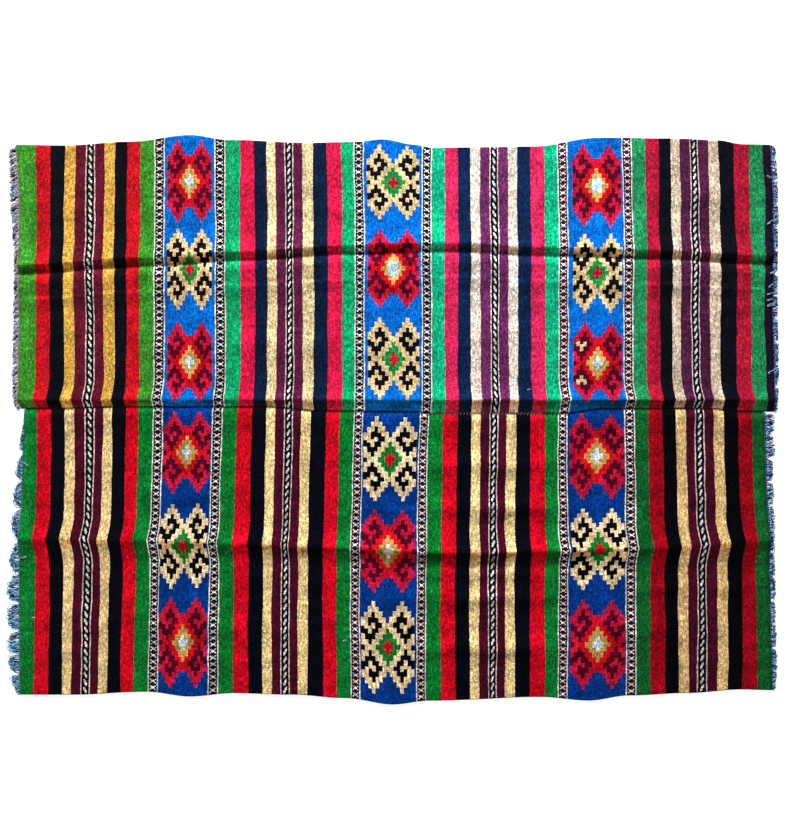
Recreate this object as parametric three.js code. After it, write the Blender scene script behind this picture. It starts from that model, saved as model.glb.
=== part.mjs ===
import * as THREE from "three";

// A flat-woven wool rug of two loom widths, sewn side by side along the middle.
// It lies open on a floor, with the creases it kept from being stored folded in four.
// Millimetres. +X runs along the warp, from end to end, +Y across it and +Z up.
// The origin is on the floor, under the middle of the rug and its fringes.

// Driving sizes of the cloth
const CLOTH_THICKNESS = 3;
const SEAM_GAP = 0.3;
const COLUMNS = 34;
const COLUMN_PITCH = 60;
const PLAIN_ROWS_BETWEEN_CREASES = 4;
const PLAIN_ROWS_ABOVE_TROUGH = 4;
const PLAIN_ROWS_BELOW_RIDGE = 6;

// Driving sizes of the fringe: loops of warp yarn that the loom left at both ends
const STRIP_GAP = 0.3;
const STRIP_WIDTH = 3;
const STRIP_HEIGHT = 2;
const LOCK_PITCH = 10.4;
const LOCK_ROOT_WIDTH = 6.6;
const LOCK_WAIST_WIDTH = 5;
const LOCK_WAIST_HEIGHT = 3.4;
const LOCK_WAIST_SHARE = 0.5;
const LOCK_UNEVEN_LEAN = 1.2;
const LOCK_LEAN_TO_TIP = 0.34;
const LOCK_SHORTEST_SHARE = 0.62;
const LOCKS_COUNTED_PER_FRINGE = 100;
const BUNCH_REACH = 45;
const BUNCH_SHORTENING = 0.4;

// The outline. The ends of the blue bands stand proud, where the motif's wefts are packed less.
const TOP_EDGE = [
  { x: -1003, y: 733 }, { x: -875, y: 731 }, { x: -705, y: 741 }, { x: -540, y: 759 },
  { x: -440, y: 746 }, { x: -225, y: 738 }, { x: -95, y: 741 }, { x: -30, y: 748 },
  { x: 60, y: 733 }, { x: 100, y: 725 }, { x: 370, y: 728 }, { x: 550, y: 752 },
  { x: 730, y: 750 }, { x: 870, y: 745 }, { x: 930, y: 734 }, { x: 1016, y: 733 },
];
const BOTTOM_EDGE = [
  { x: -998, y: -733 }, { x: -850, y: -733 }, { x: -655, y: -725 }, { x: -545, y: -738 },
  { x: -430, y: -729 }, { x: -270, y: -733 }, { x: -130, y: -742 }, { x: 0, y: -759 },
  { x: 100, y: -749 }, { x: 400, y: -739 }, { x: 520, y: -749 }, { x: 630, y: -735 },
  { x: 780, y: -729 }, { x: 930, y: -719 }, { x: 1012, y: -721 },
];
const ENDS = {
  upper: {
    left: [
      { y: 20, x: -997 }, { y: 65, x: -1003 }, { y: 105, x: -998 }, { y: 320, x: -995 },
      { y: 585, x: -995 }, { y: 733, x: -1003 },
    ],
    right: [
      { y: 20, x: 1016 }, { y: 130, x: 1016 }, { y: 345, x: 1011 }, { y: 585, x: 1013 },
      { y: 733, x: 1006 },
    ],
  },
  lower: {
    left: [
      { y: -733, x: -994 }, { y: -420, x: -995 }, { y: -320, x: -993 }, { y: -210, x: -989 },
      { y: -80, x: -985 }, { y: 20, x: -979 },
    ],
    right: [
      { y: -733, x: 1012 }, { y: -470, x: 1005 }, { y: -310, x: 1001 }, { y: -155, x: 994 },
      { y: 20, x: 989 },
    ],
  },
};

// The lines that the seam and the two quarter creases take across the rug
const SEAM_LINE = [
  { x: -1000, y: 29 }, { x: -880, y: 29 }, { x: -740, y: 33 }, { x: -345, y: 33 },
  { x: -180, y: 22 }, { x: 60, y: 20 }, { x: 100, y: 16 }, { x: 450, y: 16 },
  { x: 560, y: 28 }, { x: 840, y: 29 }, { x: 930, y: 21 }, { x: 1016, y: 21 },
];
const TROUGH_LINE = [
  { x: -1000, y: 387 }, { x: -650, y: 407 }, { x: -410, y: 423 }, { x: -115, y: 439 },
  { x: 150, y: 446 }, { x: 420, y: 434 }, { x: 685, y: 427 }, { x: 1016, y: 412 },
];
const RIDGE_LINE = [
  { x: -1000, y: -316 }, { x: -650, y: -321 }, { x: -410, y: -329 }, { x: -115, y: -340 },
  { x: 150, y: -353 }, { x: 420, y: -348 }, { x: 685, y: -340 }, { x: 1016, y: -322 },
];

// A fold stands just above the seam. Its crest is straight and its foot follows the seam:
// the share of the way from seam to crest, and the height of the underside there.
const CREST_Y = 54;
const CREST_FOOT = [
  { share: 0, up: 0 }, { share: 0.3, up: 2.5 }, { share: 0.65, up: 7.5 },
];

// Cross-sections of the creases: how far across the line, and the height of the underside there
const CREST_BACK = [
  { across: 0, up: 12.5 }, { across: 5, up: 11 }, { across: 14, up: 7 }, { across: 28, up: 2.5 },
  { across: 48, up: 0 },
];
const QUARTER_TROUGH = [
  { across: -110, up: 0 }, { across: -62, up: 3.5 }, { across: -48, up: 2.5 },
  { across: -22, up: 6.5 }, { across: -8, up: 3 }, { across: 0, up: 0 },
  { across: 9, up: 4 }, { across: 24, up: 9 }, { across: 42, up: 6 }, { across: 66, up: 2.5 },
  { across: 110, up: 0 },
];
const SEAM_LIP = [
  { across: -75, up: 0 }, { across: -45, up: 2 }, { across: -18, up: 3.5 },
  { across: -6, up: 1.8 }, { across: 0, up: 0 },
];
const QUARTER_RIDGE = [
  { across: -80, up: 0 }, { across: -46, up: 1.5 }, { across: -26, up: 5 },
  { across: -12, up: 9.5 }, { across: -4, up: 12.4 }, { across: 0, up: 13 },
  { across: 7, up: 11 }, { across: 18, up: 7 }, { across: 36, up: 3 }, { across: 60, up: 0.5 },
  { across: 80, up: 0 },
];

// Low swells that cross the plain cloth: the middle, how far each reaches and its height
const SWELLS = [
  { x: 240, y: -122, reachX: 330, reachY: 55, up: 4 },
  { x: 300, y: -235, reachX: 300, reachY: 52, up: 4.5 },
  { x: -560, y: -190, reachX: 220, reachY: 60, up: 4 },
  { x: 600, y: -165, reachX: 190, reachY: 60, up: 3.5 },
  { x: 170, y: -475, reachX: 330, reachY: 50, up: 4.5 },
  { x: 250, y: -610, reachX: 330, reachY: 52, up: 4.5 },
  { x: -430, y: -560, reachX: 260, reachY: 60, up: 3 },
  { x: 700, y: -560, reachX: 260, reachY: 65, up: 4 },
  { x: -820, y: -540, reachX: 150, reachY: 60, up: 3 },
  { x: -300, y: 200, reachX: 380, reachY: 60, up: 3 },
  { x: 420, y: 230, reachX: 330, reachY: 60, up: 3 },
  { x: 820, y: 600, reachX: 200, reachY: 60, up: 4 },
  { x: -350, y: 620, reachX: 330, reachY: 55, up: 2.5 },
];

// How far the fringe reaches past the cloth's ends
const FRINGE_REACH = {
  upper: {
    left: [
      { y: 20, reach: 10 }, { y: 90, reach: 18 }, { y: 450, reach: 17 }, { y: 585, reach: 25 },
      { y: 733, reach: 21 },
    ],
    right: [{ y: 20, reach: 9 }, { y: 345, reach: 11.5 }, { y: 733, reach: 12 }],
  },
  lower: {
    left: [
      { y: -733, reach: 14 }, { y: -655, reach: 30 }, { y: -500, reach: 32 }, { y: -320, reach: 23 },
      { y: -180, reach: 21 }, { y: -80, reach: 10 }, { y: 20, reach: 7 },
    ],
    right: [
      { y: -733, reach: 8 }, { y: -655, reach: 13 }, { y: -320, reach: 16 }, { y: -155, reach: 20 },
      { y: 20, reach: 26 },
    ],
  },
};

// Where the bunches of each fringe come to a point
const FRINGE_TIPS = {
  upper: {
    left: [62, 118, 186, 243, 309, 371, 428, 497, 560, 618, 684, 728],
    right: [55, 121, 176, 239, 302, 358, 421, 485, 540, 607, 664, 722],
  },
  lower: {
    left: [-705, -649, -601, -526, -454, -369, -273, -200, -125, -50],
    right: [-702, -643, -575, -516, -449, -388, -322, -264, -197, -136, -70, -12],
  },
};

const FINISHES = {
  upper: new THREE.MeshStandardMaterial({ color: 0xa31c2c, roughness: 0.95, metalness: 0 }),
  lower: new THREE.MeshStandardMaterial({ color: 0x9c1a2e, roughness: 0.95, metalness: 0 }),
  fringe: new THREE.MeshStandardMaterial({ color: 0x8fbfe0, roughness: 0.9, metalness: 0 }),
};

// Reads a table smoothly: the value of one column where another column has a given value
function readTable(rows, keyColumn, valueColumn, key) {
  const last = rows.length - 1;
  if (key <= rows[0][keyColumn]) {
    return rows[0][valueColumn];
  }
  if (key >= rows[last][keyColumn]) {
    return rows[last][valueColumn];
  }
  const next = rows.findIndex((row) => row[keyColumn] >= key);
  const before = rows[next - 1];
  const after = rows[next];
  const share = (key - before[keyColumn]) / (after[keyColumn] - before[keyColumn]);
  return THREE.MathUtils.lerp(
    before[valueColumn],
    after[valueColumn],
    THREE.MathUtils.smoothstep(share, 0, 1),
  );
}

const heightOfLine = (line, x) => readTable(line, "x", "y", x);

// A repeatable share between 0 and 1 for the nth lock: the fraction left of a fast, large wave
function unevenness(n) {
  const step = 12.9898;
  const swing = 43758.5453;
  const wave = Math.sin(n * step) * swing;
  return wave - Math.floor(wave);
}

// Height that the swells add at a place
function swellHeight(x, y) {
  let height = 0;
  for (const swell of SWELLS) {
    const far = Math.hypot((x - swell.x) / swell.reachX, (y - swell.y) / swell.reachY);
    if (far < 1) {
      height += swell.up * (0.5 + 0.5 * Math.cos(Math.PI * far));
    }
  }
  return height;
}

// Rows of cloth from one line to another: a crease's own rows, or plain rows evenly between
function creaseRows(line, section) {
  return section.map(({ across, up }) => ({ y: (x) => heightOfLine(line, x) + across, up }));
}

function plainRows(from, to, count) {
  const rows = [];
  for (let i = 1; i <= count; i += 1) {
    const share = i / (count + 1);
    rows.push({ y: (x) => THREE.MathUtils.lerp(from.y(x), to.y(x), share), up: 0 });
  }
  return rows;
}

function shiftedRow(row, shift) {
  return { y: (x) => row.y(x) + shift, up: row.up };
}

function upperRows() {
  const seam = { y: (x) => heightOfLine(SEAM_LINE, x) + SEAM_GAP / 2, up: 0 };
  const foot = CREST_FOOT.map(({ share, up }) => (
    { y: (x) => THREE.MathUtils.lerp(seam.y(x), CREST_Y, share), up }
  ));
  const back = CREST_BACK.map(({ across, up }) => ({ y: () => CREST_Y + across, up }));
  const trough = creaseRows(TROUGH_LINE, QUARTER_TROUGH);
  const edge = { y: (x) => heightOfLine(TOP_EDGE, x), up: 0 };
  return [
    ...foot,
    ...back,
    ...plainRows(back.at(-1), trough[0], PLAIN_ROWS_BETWEEN_CREASES),
    ...trough,
    ...plainRows(trough.at(-1), edge, PLAIN_ROWS_ABOVE_TROUGH),
    edge,
  ];
}

function lowerRows() {
  const lip = creaseRows(SEAM_LINE, SEAM_LIP);
  const ridge = creaseRows(RIDGE_LINE, QUARTER_RIDGE);
  const edge = { y: (x) => heightOfLine(BOTTOM_EDGE, x), up: 0 };
  lip[lip.length - 1] = shiftedRow(lip.at(-1), -SEAM_GAP / 2);
  return [
    edge,
    ...plainRows(edge, ridge[0], PLAIN_ROWS_BELOW_RIDGE),
    ...ridge,
    ...plainRows(ridge.at(-1), lip[0], PLAIN_ROWS_BETWEEN_CREASES),
    ...lip,
  ];
}

// Places of the cloth's underside: rows from the lowest y up, each from the left end to the
// right. The columns between the ends run straight along the wefts, as the stripes do.
function clothGrid(rows, ends) {
  return rows.map((row) => {
    const points = [];
    for (let column = 0; column <= COLUMNS; column += 1) {
      const isEnd = column === 0 || column === COLUMNS;
      const end = column === 0 ? ends.left : ends.right;
      const wovenX = isEnd ? end[0].x : (column - COLUMNS / 2) * COLUMN_PITCH;
      const y = row.y(wovenX);
      const x = isEnd ? readTable(end, "y", "x", y) : wovenX;
      points.push(new THREE.Vector3(x, y, row.up + (isEnd ? 0 : swellHeight(x, y))));
    }
    return points;
  });
}

// Collects the corners and faces of one closed solid
class Solid {
  constructor() {
    this.corners = [];
    this.faces = [];
  }

  corner(x, y, z) {
    this.corners.push(x, y, z);
    return this.corners.length / 3 - 1;
  }

  // A four-sided face, its corners counter-clockwise seen from outside
  quad(a, b, c, d) {
    this.faces.push(a, b, c, a, c, d);
  }

  triangle(a, b, c) {
    this.faces.push(a, b, c);
  }

  mesh(name, finish) {
    const geometry = new THREE.BufferGeometry();
    geometry.setAttribute("position", new THREE.Float32BufferAttribute(this.corners, 3));
    geometry.setIndex(this.faces);
    geometry.computeVertexNormals();
    const mesh = new THREE.Mesh(geometry, finish);
    mesh.name = name;
    return mesh;
  }
}

// One loom width: the grid of its underside, thickened upwards into a closed sheet
function clothSheet(name, grid, finish) {
  const solid = new Solid();
  const under = grid.map((row) => row.map((p) => solid.corner(p.x, p.y, p.z)));
  const over = grid.map((row) => row.map((p) => solid.corner(p.x, p.y, p.z + CLOTH_THICKNESS)));
  const lastRow = grid.length - 1;
  for (let r = 0; r < lastRow; r += 1) {
    for (let c = 0; c < COLUMNS; c += 1) {
      solid.quad(over[r][c], over[r][c + 1], over[r + 1][c + 1], over[r + 1][c]);
      solid.quad(under[r][c], under[r + 1][c], under[r + 1][c + 1], under[r][c + 1]);
    }
    solid.quad(under[r][0], over[r][0], over[r + 1][0], under[r + 1][0]);
    solid.quad(under[r][COLUMNS], under[r + 1][COLUMNS], over[r + 1][COLUMNS], over[r][COLUMNS]);
  }
  for (let c = 0; c < COLUMNS; c += 1) {
    solid.quad(under[0][c], under[0][c + 1], over[0][c + 1], over[0][c]);
    solid.quad(under[lastRow][c], over[lastRow][c], over[lastRow][c + 1], under[lastRow][c + 1]);
  }
  return solid.mesh(name, finish);
}

// A point on the cloth's end, read from the same straight stretches that the sheet's end has
function pointOnEnd(end, y) {
  const last = end.length - 1;
  const next = Math.min(Math.max(end.findIndex((p) => p.y >= y), 1), last);
  const before = end[next - 1];
  const after = end[next];
  return new THREE.Vector3().lerpVectors(before, after, (y - before.y) / (after.y - before.y));
}

// Cross-section of a root strip at one place: inner and outer corners, below and above.
// side is -1 at the left end of the rug and 1 at the right.
function stripSection(solid, end, y, side) {
  const edge = pointOnEnd(end, y);
  const inner = edge.x + side * STRIP_GAP;
  const outer = inner + side * STRIP_WIDTH;
  return {
    y,
    outer,
    floor: edge.z,
    innerUnder: solid.corner(inner, y, edge.z),
    innerOver: solid.corner(inner, y, edge.z + STRIP_HEIGHT),
    outerUnder: solid.corner(outer, y, edge.z),
    outerOver: solid.corner(outer, y, edge.z + STRIP_HEIGHT),
  };
}

// One lock of the fringe, from the wall of its strip between two sections out to its tip,
// lying on the floor and leaning to the point of its bunch. number varies its length and lean.
function addLock(solid, from, to, reach, tipY, side, number) {
  const middleY = (from.y + to.y) / 2;
  const offTip = THREE.MathUtils.clamp((tipY - middleY) / BUNCH_REACH, -1, 1);
  const shortest = LOCK_SHORTEST_SHARE * (1 - BUNCH_SHORTENING * Math.abs(offTip));
  const longest = 1 - BUNCH_SHORTENING * Math.abs(offTip);
  const length = (reach - STRIP_WIDTH) * THREE.MathUtils.lerp(shortest, longest, unevenness(number));
  const lean = LOCK_LEAN_TO_TIP * offTip * BUNCH_REACH;
  const waistX = from.outer + side * length * LOCK_WAIST_SHARE;
  const unevenLean = LOCK_UNEVEN_LEAN * (2 * unevenness(-number) - 1);
  const waistY = middleY + lean * LOCK_WAIST_SHARE + unevenLean;
  const floor = Math.max(0, from.floor - CLOTH_THICKNESS) * LOCK_WAIST_SHARE;
  const nearY = waistY - LOCK_WAIST_WIDTH / 2;
  const farY = waistY + LOCK_WAIST_WIDTH / 2;
  const nearUnder = solid.corner(waistX, nearY, floor);
  const nearOver = solid.corner(waistX, nearY, floor + LOCK_WAIST_HEIGHT);
  const farUnder = solid.corner(waistX, farY, floor);
  const farOver = solid.corner(waistX, farY, floor + LOCK_WAIST_HEIGHT);
  const tip = solid.corner(from.outer + side * length, middleY + lean, 0);
  const rings = [
    [from.outerUnder, to.outerUnder, to.outerOver, from.outerOver],
    [nearUnder, farUnder, farOver, nearOver],
  ];
  for (let i = 0; i < 4; i += 1) {
    const next = (i + 1) % 4;
    addWall(solid, side, rings[0][i], rings[0][next], rings[1][next], rings[1][i]);
    if (side > 0) {
      solid.triangle(rings[1][i], rings[1][next], tip);
    } else {
      solid.triangle(rings[1][next], rings[1][i], tip);
    }
  }
}

// A wall given as seen from outside at the right end of the rug, turned over at the left end
function addWall(solid, side, a, b, c, d) {
  if (side > 0) {
    solid.quad(a, b, c, d);
  } else {
    solid.quad(d, c, b, a);
  }
}

// The fringe of one end of one loom width: locks whose roots are fused in a narrow strip
function fringe(name, grid, reachTable, tips, side, firstNumber) {
  const solid = new Solid();
  const column = side > 0 ? COLUMNS : 0;
  const end = grid.map((row) => row[column]);
  const lowest = end[0].y + STRIP_GAP;
  const highest = end.at(-1).y - STRIP_GAP;
  const count = Math.floor((highest - lowest) / LOCK_PITCH);
  const pitch = (highest - lowest) / count;
  const margin = (pitch - LOCK_ROOT_WIDTH) / 2;
  const sections = [stripSection(solid, end, lowest, side)];
  for (let i = 0; i < count; i += 1) {
    const from = stripSection(solid, end, lowest + i * pitch + margin, side);
    const to = stripSection(solid, end, lowest + (i + 1) * pitch - margin, side);
    const middleY = (from.y + to.y) / 2;
    const reach = readTable(reachTable, "y", "reach", middleY);
    const farness = tips.map((tip) => Math.abs(tip - middleY));
    const tipY = tips[farness.indexOf(Math.min(...farness))];
    addLock(solid, from, to, reach, tipY, side, firstNumber + i);
    sections.push(from, to);
  }
  sections.push(stripSection(solid, end, highest, side));
  for (let i = 0; i + 1 < sections.length; i += 1) {
    const a = sections[i];
    const b = sections[i + 1];
    addWall(solid, side, a.innerOver, a.outerOver, b.outerOver, b.innerOver);
    addWall(solid, side, a.innerUnder, b.innerUnder, b.outerUnder, a.outerUnder);
    addWall(solid, side, a.innerUnder, a.innerOver, b.innerOver, b.innerUnder);
    const isLock = i % 2 === 1;
    if (!isLock) {
      addWall(solid, side, a.outerUnder, b.outerUnder, b.outerOver, a.outerOver);
    }
  }
  const first = sections[0];
  const last = sections.at(-1);
  addWall(solid, side, first.innerUnder, first.outerUnder, first.outerOver, first.innerOver);
  addWall(solid, side, last.innerUnder, last.innerOver, last.outerOver, last.outerUnder);
  return solid.mesh(name, FINISHES.fringe);
}

const WIDTHS = [
  { place: "upper", rows: upperRows() },
  { place: "lower", rows: lowerRows() },
];
const SIDES = [
  { place: "left", side: -1 },
  { place: "right", side: 1 },
];

const rug = new THREE.Group();
let firstNumber = LOCKS_COUNTED_PER_FRINGE;
for (const width of WIDTHS) {
  const grid = clothGrid(width.rows, ENDS[width.place]);
  rug.add(clothSheet(`panel_${width.place}`, grid, FINISHES[width.place]));
  for (const { place, side } of SIDES) {
    const name = `fringe_${width.place}_${place}`;
    const reachTable = FRINGE_REACH[width.place][place];
    const tips = FRINGE_TIPS[width.place][place];
    rug.add(fringe(name, grid, reachTable, tips, side, firstNumber));
    firstNumber += LOCKS_COUNTED_PER_FRINGE;
  }
}

export default rug;
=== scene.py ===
"""A flat-woven wool rug of two sewn loom widths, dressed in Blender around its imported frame.

Metres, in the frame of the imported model: +X along the warp, from fringe to fringe, +Y across it
and +Z up. The rug lies open on the floor, with the creases it kept from being stored folded.
The stripes run along the wefts, from the seam in the middle out to the two long edges.
"""

from __future__ import annotations

import logging
import math
from collections.abc import Sequence
from dataclasses import dataclass, field
from enum import Enum

import bpy
import numpy as np
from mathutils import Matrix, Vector

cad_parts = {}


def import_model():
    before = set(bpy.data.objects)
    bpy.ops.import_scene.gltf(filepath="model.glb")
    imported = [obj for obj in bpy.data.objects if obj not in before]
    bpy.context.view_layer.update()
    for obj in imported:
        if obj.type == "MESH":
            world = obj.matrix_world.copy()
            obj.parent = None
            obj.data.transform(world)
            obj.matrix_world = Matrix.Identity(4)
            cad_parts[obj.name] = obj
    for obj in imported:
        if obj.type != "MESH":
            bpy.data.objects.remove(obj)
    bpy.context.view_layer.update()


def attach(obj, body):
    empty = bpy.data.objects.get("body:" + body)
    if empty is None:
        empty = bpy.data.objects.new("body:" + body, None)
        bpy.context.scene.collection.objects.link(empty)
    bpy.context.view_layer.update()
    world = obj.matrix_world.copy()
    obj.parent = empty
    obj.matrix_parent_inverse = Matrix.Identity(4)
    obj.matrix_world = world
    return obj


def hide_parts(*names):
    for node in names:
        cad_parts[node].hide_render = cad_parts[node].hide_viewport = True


LOG = logging.getLogger("wool_rug")

BODY = "root"

# Colours as a screen shows them, linear colours with their alpha, ranges, and pairs of readings
Display = tuple[int, int, int]
Linear = tuple[float, float, float, float]
Range = tuple[float, float]
Points = tuple[tuple[float, float], ...]

# The cloth
CLOTH_THICKNESS = 0.003
WARP_PITCH = 0.00288
PICK_PITCH = 0.0013
SEAM_GAP = 0.00004
# Painted shade in the groove of the seam: how much of its colour the yarn keeps, in the first row and in
# the second
SEAM_PAINTED_SHADE = (0.26, 0.80)
# How far out from the seam the sway of a stripe turns, and how far in an end's own line shows
SWAY_TURN = 0.45
END_REACH = 0.070
# The slow drifts of a stripe's edge: how many waves each has, and how wide it is
STRIPE_DRIFTS = ((1.3, 0.0009), (2.9, 0.0006), (6.5, 0.0003))
DRIFT_PACE = (0.8, 1.25)
# How far each weft, the tone of each cell and the steps of each star stray
WEFT_STRAY = 0.0005
TONE_STRAY = 0.05
STEP_STRAY = 0.08
# The low waves all over the cloth: how high, and how fast each turns along and across the rug
WAVE_HEIGHT = 0.00035
CLOTH_WAVES = ((42.0, 61.0), (-33.0, 117.0))
# How far the rim stands out past the top of the cloth
RIM_BULGE = 0.0008

# The bake map: where the top of the cloth is on it, and how its rim and its underside fit beside it
MAP_CORNER = (0.004, 0.20)
MAP_SIZE = (0.992, 0.792)
MAP_CENTRE = (0.5, 0.6)
UNDER_SQUEEZE = (1.0, 0.2)
RIM_MAP_WIDTH = 0.003
RIM_MAP_STEP = 0.0008


class Yarn(Enum):
    """The dyed yarns of the rug."""

    GREEN = "green"
    RED = "red"
    BLACK = "black"
    GOLD = "gold"
    PLUM = "plum"
    END_PLUM = "plum of the end stripe"
    BLUE = "blue"
    WHITE = "white"
    LINE = "cream line"
    BLUSH = "pinkish line"
    SMOKE = "brown grey"
    CREAM = "cream of the hooked stars"
    CRIMSON = "crimson"
    SCARLET = "scarlet"
    WINE = "wine"
    OLIVE = "old gold"
    PALE_BLUE = "pale blue"


class Batch(Enum):
    """The four blocks of stripes, each woven from its own dye batch. No two came out quite alike, and their
    colours also hold painted light.
    """

    FIRST = 1
    SECOND = 2
    THIRD = 3
    LAST = 4


class Kind(Enum):
    """What a stripe of the cloth is woven as."""

    PLAIN = "plain"
    CORD = "slanting cord"
    BORDER = "border"
    BAND = "band of stars"


# How much of the light a yarn gives back, against the colour that it shows in this bright studio
DYE_DEPTH = 0.78

# How many columns of cells each kind of stripe has
STAR_COLUMNS = 15
COLUMNS = {Kind.PLAIN: 3, Kind.CORD: 9, Kind.BORDER: 9, Kind.BAND: STAR_COLUMNS + 2}


def eased(share: np.ndarray) -> np.ndarray:
    """Eases a share from 0 to 1 with no slope at either end."""
    held = np.clip(share, 0.0, 1.0)
    return held * held * (3.0 - 2.0 * held)


def stray(draw: np.random.Generator, most: float) -> float:
    """Draws a small difference to either side."""
    return draw.uniform(-most, most)


def bracket(keys: np.ndarray, wanted: np.ndarray) -> tuple[np.ndarray, np.ndarray]:
    """Finds the two keys that each place lies between.

    Args:
        keys: The keys, in rising order.
        wanted: The places, which are held to the range of the keys.

    Returns:
        The number of the key after each place, and how far towards it the place is.
    """
    place = np.clip(wanted, keys[0], keys[-1])
    after = np.clip(np.searchsorted(keys, place), 1, len(keys) - 1)
    return after, (place - keys[after - 1]) / (keys[after] - keys[after - 1])


@dataclass(frozen=True)
class Reading:
    """One measure read against another, with an eased step from each point to the next."""

    points: Points

    def at(self, key: np.ndarray) -> np.ndarray:
        """Reads the second column of the points, at places in the first."""
        keys, values = np.array(self.points).T
        after, share = bracket(keys, key)
        return values[after - 1] + (values[after] - values[after - 1]) * eased(share)


EVEN = Reading(((-1.0, 1.0), (1.0, 1.0)))


def read_section(section: Points, across: np.ndarray) -> np.ndarray:
    """Reads a cross-section as rounded flanks that stay sharp at its own highest and lowest points.

    Args:
        section: How far across each point is, and how high.
        across: Where to read.

    Returns:
        The height at each place.
    """
    keys, values = np.array(section).T
    sides = np.diff(values) / np.diff(keys)
    slopes = np.concatenate([[0.0], (sides[:-1] + sides[1:]) / 2.0, [0.0]])
    turns = np.concatenate([[False], sides[:-1] * sides[1:] < 0.0, [False]])
    after, share = bracket(keys, across)
    start = np.where(turns[after - 1], sides[after - 1], slopes[after - 1])
    end = np.where(turns[after], sides[after - 1], slopes[after])
    blend = eased(share)
    bend = share * (1.0 - share) ** 2 * start + share * share * (share - 1.0) * end
    step = keys[after] - keys[after - 1]
    return values[after - 1] * (1.0 - blend) + values[after] * blend + bend * step


@dataclass(frozen=True)
class Crease:
    """A crease: the line that it takes across the rug, and the height of the underside there."""

    line: Reading
    section: Points
    rise: Reading = EVEN
    spread: Reading = EVEN

    def height(self, x: np.ndarray, y: np.ndarray) -> np.ndarray:
        """How much the crease lifts the underside at each place."""
        across = (y - self.line.at(x)) / self.spread.at(x)
        return self.rise.at(x) * read_section(self.section, across)


@dataclass(frozen=True)
class SeamCrest:
    """The fold above the seam: its crest is straight, and its foot follows the seam."""

    seam: Reading
    crest: float
    foot: Points
    back: Points
    rise: Reading

    def height(self, x: np.ndarray, y: np.ndarray) -> np.ndarray:
        """How much the fold lifts the underside at each place."""
        seam = self.seam.at(x)
        share = (y - seam) / (self.crest - seam)
        front = read_section(self.foot, share)
        back = read_section(self.back, y - self.crest)
        return self.rise.at(x) * np.where(y < self.crest, front, back)


@dataclass(frozen=True)
class Swell:
    """A low rounded swell of the cloth."""

    x: float
    y: float
    reach_x: float
    reach_y: float
    up: float

    def height(self, x: np.ndarray, y: np.ndarray) -> np.ndarray:
        """How much the swell lifts the underside at each place."""
        far = np.hypot((x - self.x) / self.reach_x, (y - self.y) / self.reach_y)
        return self.up * (0.5 + 0.5 * np.cos(math.pi * np.minimum(far, 1.0)))


SEAM_LINE = Reading((
    (-1.000, 0.029), (-0.880, 0.029), (-0.740, 0.033), (-0.345, 0.033), (-0.180, 0.022),
    (0.060, 0.020), (0.100, 0.016), (0.450, 0.016), (0.560, 0.028), (0.840, 0.029),
    (0.930, 0.021), (1.016, 0.021),
))
TROUGH_LINE = Reading((
    (-1.000, 0.387), (-0.650, 0.407), (-0.410, 0.423), (-0.115, 0.439),
    (0.150, 0.446), (0.420, 0.434), (0.685, 0.427), (1.016, 0.412),
))
RIDGE_LINE = Reading((
    (-1.000, -0.316), (-0.650, -0.321), (-0.410, -0.329), (-0.115, -0.340),
    (0.150, -0.353), (0.420, -0.348), (0.685, -0.340), (1.016, -0.322),
))
TOP_EDGE = Reading((
    (-1.003, 0.733), (-0.875, 0.731), (-0.705, 0.741), (-0.540, 0.759), (-0.440, 0.746),
    (-0.225, 0.738), (-0.095, 0.741), (-0.030, 0.748), (0.060, 0.733), (0.100, 0.725),
    (0.370, 0.728), (0.550, 0.752), (0.730, 0.750), (0.870, 0.745), (0.930, 0.734),
    (1.016, 0.733),
))
BOTTOM_EDGE = Reading((
    (-0.998, -0.733), (-0.850, -0.733), (-0.655, -0.725), (-0.545, -0.738), (-0.430, -0.729),
    (-0.270, -0.733), (-0.130, -0.742), (0.000, -0.759), (0.100, -0.749), (0.400, -0.739),
    (0.520, -0.749), (0.630, -0.735), (0.780, -0.729), (0.930, -0.719), (1.012, -0.721),
))

# How far out along the rug the crest of a fold pushes the cloth, how far that shows and how sharply
OUTWARD_PUSH = 0.0095
FOLD_REACH = 0.060
FOLD_SHARPNESS = 1.5
CREST_Y = 0.054
# Painted shade along the folds: the warm tint that darkens the dyes there, and its share across each fold
FOLD_SHADE_TINT = (0.96, 0.64, 0.38)
CREST_SHADE = Reading(((-0.040, 1.3), (-0.005, 1.3), (0.004, 0.0)))
TROUGH_SHADE = Reading(((-0.004, 0.0), (0.004, 0.6), (0.018, 0.5), (0.028, 0.0)))
RIDGE_SHADE = Reading(((-0.034, 0.0), (-0.012, 0.9), (-0.003, 1.2), (0.003, 0.0)))
SEAM_CREST = SeamCrest(
    SEAM_LINE,
    CREST_Y,
    ((0.0, 0.0), (0.30, 0.0025), (0.65, 0.0075), (1.0, 0.0125)),
    ((0.0, 0.0125), (0.005, 0.0110), (0.014, 0.0070), (0.028, 0.0025), (0.048, 0.0)),
    Reading((
        (-1.00, 0.42), (-0.60, 0.36), (-0.30, 0.45), (0.10, 0.55), (0.25, 0.72), (0.50, 0.66),
        (0.75, 0.55), (1.00, 0.50),
    )),
)
QUARTER_TROUGH = Crease(TROUGH_LINE, (
    (-0.110, 0.0), (-0.068, 0.0042), (-0.060, 0.0030), (-0.022, 0.0055), (-0.008, 0.0030),
    (0.000, 0.0), (0.009, 0.0040), (0.024, 0.0090), (0.042, 0.0060), (0.066, 0.0025),
    (0.110, 0.0),
))
SEAM_LIP = Crease(SEAM_LINE, (
    (-0.075, 0.0), (-0.045, 0.0020), (-0.018, 0.0035), (-0.006, 0.0018), (0.000, 0.0),
))
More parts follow.
